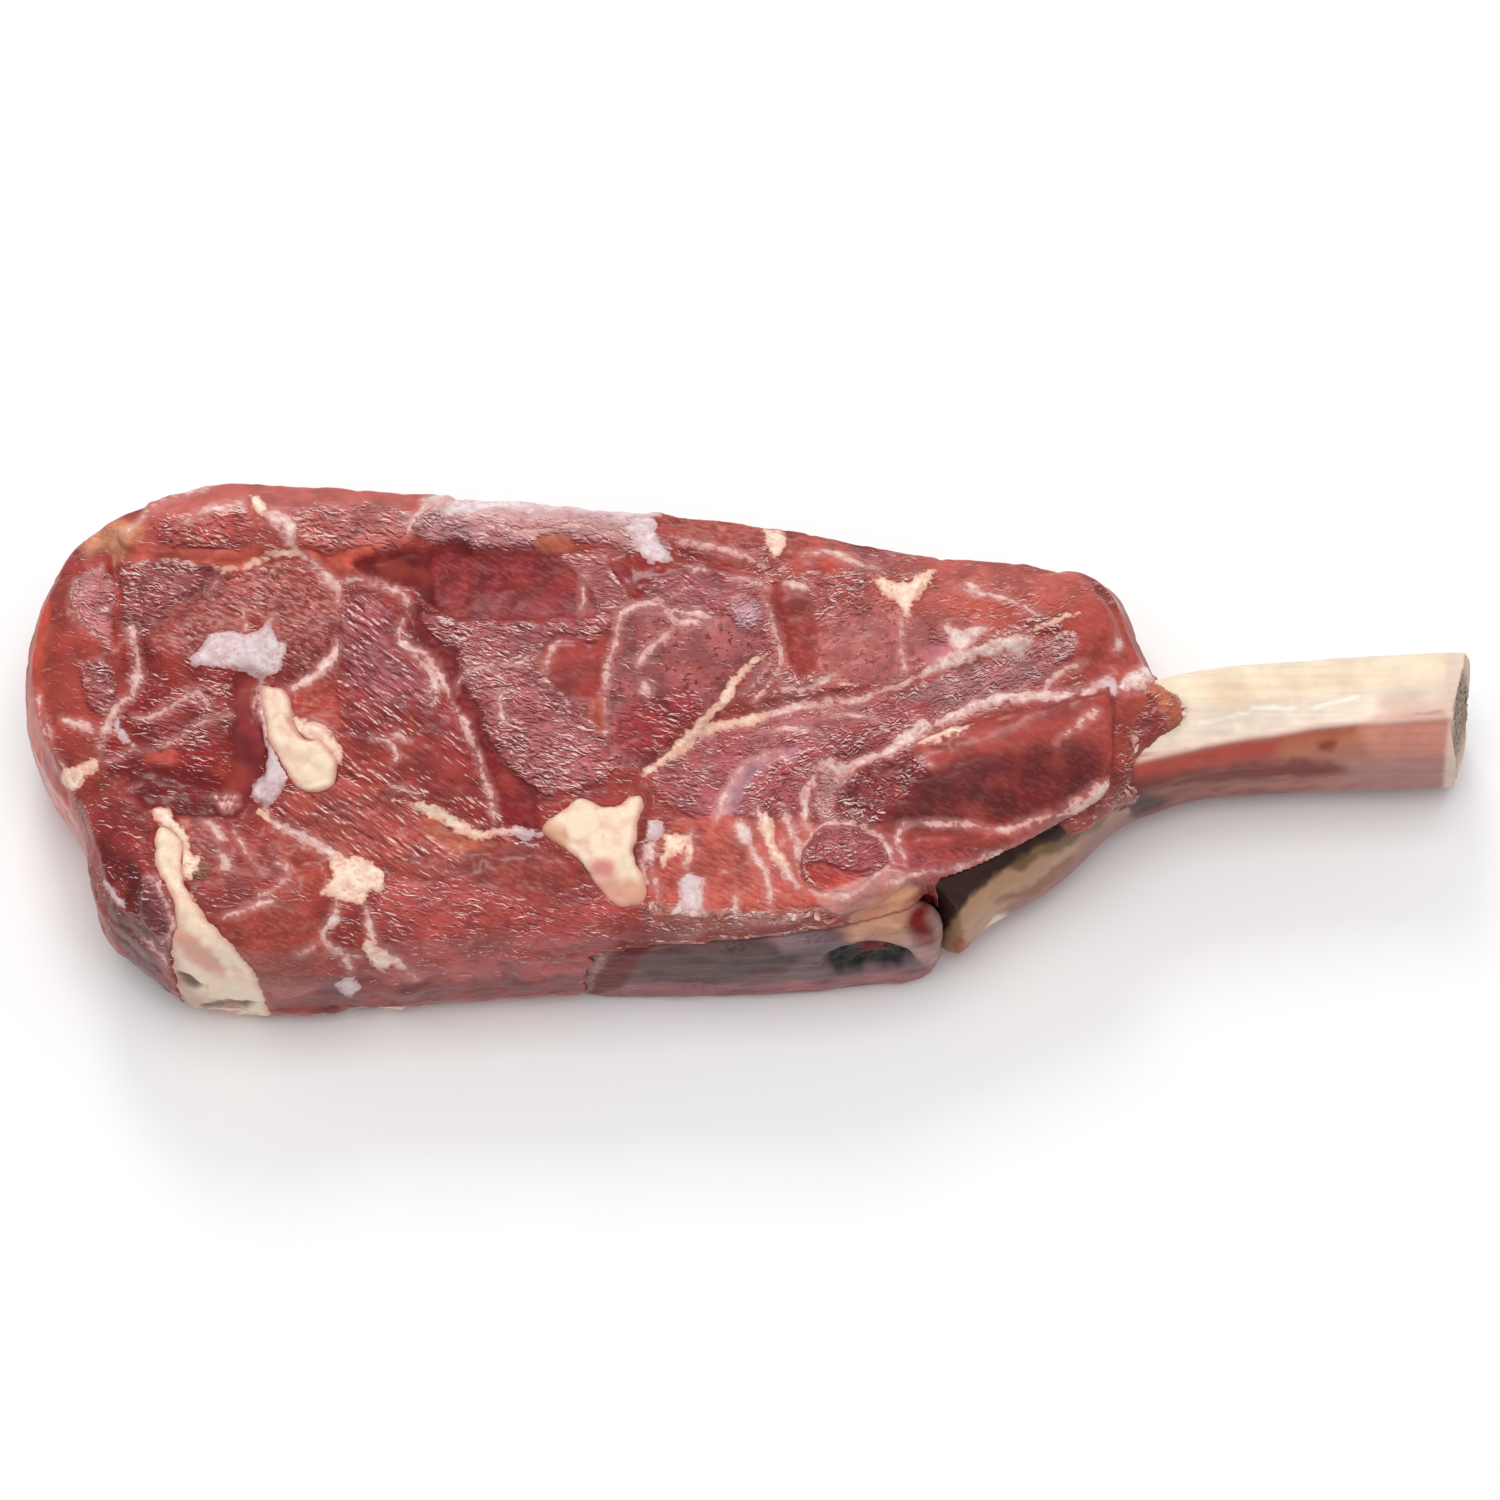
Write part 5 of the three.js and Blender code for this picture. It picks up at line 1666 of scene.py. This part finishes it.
    def trim_end(self, skin: Skin) -> np.ndarray:
        """Turns the sawn end to how the picture shows it.

        Args:
            skin: the rib.

        Returns:
            How much each point belongs to the sawn face, from 0 to 1.
        """
        normals = skin.normals(1)
        places = skin.places
        tip_x = places[:, 0].max()
        face = ease(normals[:, 0], 0.6, 0.9) * ease(places[:, 0], tip_x - 8, tip_x - 5)
        flat = np.column_stack([places[:, 1:], np.ones(len(places))])
        plane = np.linalg.lstsq(flat[face > 0.9], places[face > 0.9, 0], rcond=None)[0]
        end = flat @ plane
        tip = ease(places[:, 0], end - self.reach, end - 2.0)
        depth = places[:, 2] * 0.93 - places[:, 1] * 0.37
        near_tip = tip > 0.5
        share = (depth[near_tip].max() - depth) / np.ptp(depth[near_tip])
        height = self.eye.project(places)[:, 1]
        rims = []
        for trace in (self.near_rim, self.far_rim):
            across, down = smoothed(trace).T
            rims.append(np.interp(height, down, across))
        wanted = self.eye.across(rims[0] + np.clip(1.6 * share, 0, 1) * (rims[1] - rims[0]), places)
        places[:, 0] += tip * (wanted - end)
        return face

    def build(self) -> None:
        """Sculpts, paints and finishes the rib."""
        skin = Skin.over("rib_bone", self.voxel, 2)
        end = self.trim_end(skin)
        skin.keep_inside()
        normals = skin.normals()
        where = self.eye.project(skin.places)
        look = paint(where, self.base, self.patches, self.noise)
        x, y, z = skin.places.T
        middle_z = (z.min() + z.max()) / 2
        girth = np.arctan2(z - middle_z, -y) * 12.0
        drawn = np.column_stack([x / 11.0, girth / 2.4, np.zeros(len(x))])
        relief = (0.22 * self.noise(drawn, 1.0, 3) + 0.2 * self.noise(skin.places, 7.0, 2)) * (1 - end)
        ridge, _ = near_line(where, smoothed(self.ridge))
        facing = ease(normals[:, 2], -0.2, 0.2) * (1 - end)
        relief += 0.5 * np.exp(-((ridge * TO_MM / 0.8) ** 2)) * facing
        spongy = end * ease(inside_by(where, smoothed(self.sponge, closed=True)), -3.0, 3.0)
        relief -= spongy * (0.5 + 0.9 * (0.5 - self.noise.pebbles(skin.places, 1.1)))
        relief += 0.35 * ease(-normals[:, 2], -0.6, 0.2) * (1 - end) - 0.1
        skin.places += normals * relief[:, None]
        skin.keep_inside()

        # The painted shadow under the flap gets a stronger uneven mottle.
        recess = next(patch for patch in self.patches if patch.name == "flap_shadow").cover(where)
        look.colour *= (1 + (0.12 + 0.7 * recess) * self.noise(skin.places, 2.4, 3))[:, None]
        look.blend(ease(-normals[:, 2], 0.15, 0.6) * (1 - end), self.hidden)
        look.blend(end, self.sawn)
        look.blend(spongy, self.marrow)
        look.blend(0.75 * np.exp(-((ridge * TO_MM / 0.6) ** 2)) * facing, self.crest)
        skin.record("tone", with_alpha(look.colour))
        grain = np.where(end[:, None] > 0.5, skin.places[:, [2, 1, 0]], np.column_stack([x, girth, 0 * x]))
        skin.record("grain", grain)
        skin.record("sponge", spongy)
        skin.become("rib", WetBone().make("scraped_bone"), "rib_bone", "scraped_bone")


@dataclass
class Collar:
    """The ragged flesh left round the rib where the scraping stopped, and a film of it in the recess."""

    eye: PictureEye
    voxel: float = 0.45
    thickness: float = 1.2  # mm
    base: str = "#8a403c"
    rim: Trace = ("1080,640 1130,650 1151,676 1166,688 1180,699 1184,714 1176,728 1160,738 1152,748 1138,758"
                  " 1132,780 1140,796 1110,815 1060,830 1040,740")
    noise: Noise = field(default_factory=lambda: Noise(53))
    patches: tuple[Patch, ...] = (
        Patch("rim_orange", "1140,680 1164,686 1182,700 1184,716 1170,732 1160,716 1150,700", "#b0624a",
            CRUMPLED, 0.5, 0.8, 0.3, 1.6),
        Patch("red", "1100,690 1146,694 1156,712 1140,730 1104,724", "#843c39", CRUMPLED, 0.6, 0.7),
        Patch("pale_top", "1110,690 1120,672 1150,664 1154,684 1136,694 1118,702", "#dcb6ab", FINE, 0.3,
            0.6, 0.5, 0.8),
        Patch("lower", "1100,726 1150,730 1140,756 1134,790 1100,812", "#8f4642", CRUMPLED, 0.4, 0.6, 0,
            1.4),
        Patch("foot", "1110,770 1136,760 1134,796 1110,806", "#7a3a34", CRUMPLED, 0.5, 0.7, 0, 1.4),
    )

    def build(self) -> None:
        """Lays the flesh on the rib."""
        skin = Skin.over("rib_bone", self.voxel, 2)
        normals = skin.normals()
        where = self.eye.project(skin.places)
        ragged = 0.9 * self.noise(skin.places, 2.8, 2) + 0.2 * self.noise(skin.places, 1.1)
        inside = inside_by(where, smoothed(self.rim, closed=True)) * TO_MM + ragged
        inside = np.where(normals[:, 2] > -0.15, inside, -FAR)
        look = paint(where, self.base, self.patches, self.noise)
        bulge = self.thickness * ease(inside, -0.2, 1.4) + 0.4 * self.noise(skin.places, 2.0, 2)
        moved = np.where(inside > 0, bulge, 0.0) + look.lift - 0.5 * ease(inside, 0.8, -0.4)
        skin.places += normals * moved[:, None]
        skin.keep_inside()
        skin.record_paint(look)
        skin.drop(inside < -0.4)
        skin.become("collar", RawMuscle().make("collar_muscle"), "meat", "meat")


@dataclass
class Tags:
    """Torn tags of tissue along the lip over the backbone and round the collar's edge."""

    eye: PictureEye
    over: tuple[str, ...] = ("muscle_left", "muscle_right", "collar")
    traces: tuple[Trace, ...] = (
        "650,905 676,910 700,914 724,911",
        "736,917 770,920 806,914 830,918",
        "1134,742 1140,758 1135,778 1124,794",
        "1152,672 1168,688 1182,702 1180,722",
    )
    spacing: float = 1.5  # mm between two tags
    size: tuple[float, float, float] = (1.3, 0.5, 0.4)  # half of a tag's length, width and thickness
    turn: float = 0.9  # radians that a tag leans from the line at most
    torn: float = 1.1  # mm that its form is pulled about
    seed: int = 7
    colours: tuple[str, str] = ("#b9776c", "#e3c4b8")
    noise: Noise = field(default_factory=lambda: Noise(61))

    def guide(self) -> bpy.types.Mesh:
        """Lays the traces on the finished flesh.

        Returns:
            Chains of edges, in metres.
        """
        trees = []
        for name in self.over:
            mesh = bpy.data.objects[name].data
            corners = [vertex.co for vertex in mesh.vertices]
            trees.append(BVHTree.FromPolygons(corners, [face.vertices for face in mesh.polygons]))
        start = Vector(self.eye.position * MM)
        points, edges = [], []
        for trace in self.traces:
            first = len(points)
            for column, row in smoothed(trace):
                hits = [tree.ray_cast(start, self.eye.ray(column, row)) for tree in trees]
                hits = [hit for hit in hits if hit[0] is not None]
                if hits:
                    points.append(min(hits, key=lambda hit: hit[3])[0])
            edges += [(i, i + 1) for i in range(first, len(points) - 1)]
        mesh = bpy.data.meshes.new("tags_guide")
        mesh.from_pydata(points, edges, [])
        return mesh

    def tree(self, material: bpy.types.Material) -> bpy.types.NodeTree:
        """Builds the tree that strings tags along a line.

        Args:
            material: the tags' finish.

        Returns:
            The tree, with the sizes as its named inputs.
        """
        tree = bpy.data.node_groups.new("torn_tags", "GeometryNodeTree")
        tree.interface.new_socket("Geometry", in_out="INPUT", socket_type="NodeSocketGeometry")
        for name, kind in (("Spacing", "Float"), ("Size", "Vector"), ("Turn", "Float"), ("Seed", "Int")):
            tree.interface.new_socket(name, in_out="INPUT", socket_type="NodeSocket" + kind)
        tree.interface.new_socket("Geometry", in_out="OUTPUT", socket_type="NodeSocketGeometry")

        add = partial(add_node, tree)
        given = add("NodeGroupInput").node.outputs
        line = add("GeometryNodeMeshToCurve", {"Mesh": given["Geometry"]})
        even = add("GeometryNodeResampleCurve", {"Curve": line, "Length": given["Spacing"]}, mode="LENGTH")
        ball = add("GeometryNodeMeshIcoSphere", {"Radius": 1.0, "Subdivisions": 3})
        tag = add("GeometryNodeTransform", {"Geometry": ball, "Scale": given["Size"]})
        turn, seed = given["Turn"], given["Seed"]
        back = add("Math", (turn, -1.0), **TIMES)
        lean = add("FunctionNodeRandomValue", {0: back, 1: turn, "Seed": seed}, data_type="FLOAT_VECTOR")
        way = add("GeometryNodeInputTangent")
        along = add("FunctionNodeAlignRotationToVector", {"Vector": way}, axis="X")
        turned = add("FunctionNodeRotateRotation", (along, lean))
        grown = add("FunctionNodeRandomValue", {0: (0.5, 0.5, 0.5), 1: (1.4, 1.3, 1.2), "Seed": seed},
                    data_type="FLOAT_VECTOR")
        placed = add("GeometryNodeInstanceOnPoints",
                     {"Points": even, "Instance": tag, "Rotation": turned, "Scale": grown})
        real = add("GeometryNodeRealizeInstances", [placed])
        add("NodeGroupOutput", [add("GeometryNodeSetMaterial", {0: real, "Material": material})])
        return tree

    def build(self) -> None:
        """Strings the tags, tears them and finishes them as one plain mesh."""
        material = SoftFat().make("torn_tissue")
        holder = bpy.data.objects.new("tags_guide", self.guide())
        bpy.context.scene.collection.objects.link(holder)
        modifier = holder.modifiers.new("tags", "NODES")
        modifier.node_group = self.tree(material)
        sizes = {"Spacing": self.spacing * MM, "Size": [half * MM for half in self.size],
                 "Turn": self.turn, "Seed": self.seed}
        for socket in modifier.node_group.interface.items_tree:
            if socket.name in sizes:
                modifier[socket.identifier] = sizes[socket.name]
        graph = bpy.context.evaluated_depsgraph_get()
        skin = Skin(bpy.data.meshes.new_from_object(holder.evaluated_get(graph)), "meat")
        bpy.data.objects.remove(holder)

        pulled = [self.noise(skin.places + 20.0 * axis, 1.6, 2) for axis in range(3)]
        skin.places += self.torn * np.column_stack(pulled)
        skin.keep_inside()
        dark, pale = (dry(code) for code in self.colours)
        tone = dark + ease(self.noise(skin.places, 2.2, 2), -0.2, 0.3)[:, None] * (pale - dark)
        skin.record("tone", with_alpha(tone))
        skin.become("tags", material, "meat", "fat")


@dataclass
class Chine:
    """The sawn block of backbone in the front edge."""

    eye: PictureEye
    voxel: float = 0.5
    base: str = "#a57f79"
    finish: WetBone = WetBone(
        streak_across=1.8, streak_along=5.0, streaky=0.16, roughness=0.5, bump=0.3, pores=0.6, shade="#2c2224"
    )
    noise: Noise = field(default_factory=lambda: Noise(41))
    patches: tuple[Patch, ...] = (
        Patch("sawn", "610,985 623,961 657,950 712,936 770,928 820,928 871,936 905,945 928,958 936,970"
            " 917,976 807,984 738,988 669,986", "#7d5c5b", soft=1),
        Patch("sawn_lilac", "800,930 870,938 905,948 928,962 900,972 800,980 790,950", "#80676a", soft=3),
        Patch("sawn_left", "640,962 712,944 790,940 790,970 720,978 650,980", "#66514e", soft=3),
        # Painted shade: the hollow in the sawn face is painted near black.
        Patch("hollow", "824,960 850,947 880,945 904,951 914,962 892,968 860,972 832,973", "#2f2726",
            soft=1.4),
        Patch("hollow_red", "862,950 876,945 892,950 880,957 866,958", "#6b2a2c"),
        Patch("left_red", "590,1005 600,970 625,945 668,924 714,918 716,926 670,944 640,960 616,1005",
            "#74393a", soft=1.8),
        Patch("middle_mauve", "770,926 800,920 824,930 818,950 790,956 772,944", "#8f747a", soft=2.2),
        Patch("upper_red", "716,924 740,916 770,922 764,930 735,932", "#7a3f3a", soft=1),
        Patch("foot", "600,995 669,984 738,987 807,983 875,975 917,972 940,962 946,976 917,984 800,1000"
            " 600,1005", "#a3696b", soft=0.9),
        Patch("right_band", "860,930 905,938 932,952 944,966 936,974 905,950 868,940", "#ad8482", soft=1),
        Patch("upper_tan", "690,932 750,922 820,916 850,916 840,928 790,930 740,932 690,942", "#a87c70",
            soft=0.8),
        Patch("cartilage", "846,936 858,908 880,893 912,890 916,905 910,938 890,944 868,940", "#cb9a82",
            soft=2.2),
        # Painted shade: the nook between the backbone and the rib is dark red flesh painted darker.
        Patch("red_nook", "908,930 914,905 925,905 932,930 934,945", "#7a302c", soft=2.4),
    )

    def build(self) -> None:
        """Sculpts, paints and finishes the block."""
        skin = Skin.over("chine_bone", self.voxel, 2)
        normals = skin.normals()
        where = self.eye.project(skin.places)
        look = paint(where, self.base, self.patches, self.noise)
        x, y, z = skin.places.T
        sawn = ease(-normals[:, 1], 0.3, 0.8)
        drawn = np.column_stack([x / 8.0, z / 1.8, y / 3.0])
        hollow = next(patch for patch in self.patches if patch.name == "hollow").cover(where)
        relief = sawn * (0.3 * self.noise(drawn, 1.0, 3) - 1.4 * hollow)
        relief += 0.45 * self.noise(skin.places, 5.0, 3) - 0.2
        relief += 0.9 * hollow * self.noise(skin.places, 1.6, 2)
        on_table = ease(z, 1.5, 0.4)
        skin.places += normals * (relief * (1 - on_table))[:, None]
        skin.keep_inside()
        look.colour *= (1 + 0.5 * sawn * self.noise(skin.places * (0.6, 1, 1), 3.2, 4))[:, None]
        skin.record("tone", with_alpha(look.colour))
        skin.record("grain", np.column_stack([x, z * 1.4, y]))
        skin.record("sponge", 0.6 * sawn * ease(self.noise(skin.places, 7.0, 2), -0.1, 0.4))
        skin.become("chine", self.finish.make("sawn_bone"), "chine_bone", "sawn_bone")


# ---- the studio
@dataclass(frozen=True)
class Lamp:
    """A square softbox."""

    name: str
    place: tuple[float, float, float]  # m
    side: float  # m
    watts: float
    glints: bool = True  # whether wet surfaces mirror it

    def build(self) -> None:
        """Hangs the lamp so that it shines at the chop."""
        light = bpy.data.lights.new(self.name, "AREA")
        light.shape = "SQUARE"
        light.size = self.side
        light.energy = self.watts
        lamp = bpy.data.objects.new(self.name, light)
        lamp.location = self.place
        lamp.rotation_euler = (-Vector(self.place)).to_track_quat("-Z", "Y").to_euler()
        lamp.visible_glossy = self.glints
        bpy.context.scene.collection.objects.link(lamp)


@dataclass
class Studio:
    """The pale table, the lamps, the room and the camera."""

    eye: PictureEye
    table: str = "#f8f8f8"
    table_side: float = 8.0  # m
    room: float = 0.5
    lamps: tuple[Lamp, ...] = (
        Lamp("back_box", (-0.15, 0.95, 0.95), 0.36, 4.6),
        Lamp("top_box", (0.0, 0.0, 1.3), 0.9, 9.0, glints=False),
    )

    def build(self) -> None:
        """Sets everything up."""
        bpy.context.scene.view_settings.view_transform = "Standard"
        for lamp in self.lamps:
            lamp.build()
        self.lay_table()
        self.paint_room()
        self.place_camera()

    def lay_table(self) -> None:
        """Lays the table, which the picture shows as plain white."""
        bpy.ops.mesh.primitive_plane_add(size=self.table_side, location=(0, 0, 0))
        table = bpy.context.object
        table.name = "table"
        material, add = new_material("table_paint")
        shader = add("BsdfPrincipled", {"Base Color": linear(self.table), "Roughness": 0.9})
        add("OutputMaterial", {"Surface": shader})
        table.data.materials.append(material)

    def paint_room(self) -> None:
        """Surrounds the table with even white light."""
        world = bpy.data.worlds.new("room")
        world.use_nodes = True
        background = world.node_tree.nodes["Background"]
        background.inputs["Color"].default_value = linear("#ffffff")
        background.inputs["Strength"].default_value = self.room
        bpy.context.scene.world = world

    def place_camera(self) -> None:
        """Puts the camera where the picture was taken from."""
        camera = bpy.data.cameras.new("camera")
        camera.lens = self.eye.lens
        camera.sensor_width = self.eye.sensor
        camera.clip_start = 0.01
        holder = bpy.data.objects.new("camera", camera)
        holder.location = self.eye.position * MM
        holder.rotation_euler = (math.pi / 2 - self.eye.elevation, 0, 0)
        bpy.context.scene.collection.objects.link(holder)
        bpy.context.scene.camera = holder


def main() -> None:
    """Builds the chop and its studio and writes how large they are."""
    logging.basicConfig(level=logging.INFO, format="%(message)s")
    eye = PictureEye()
    for part in (Flesh, FatLumps, Rib, Collar, Tags, Chine, Studio):
        part(eye).build()


if __name__ == "__main__":
    main()
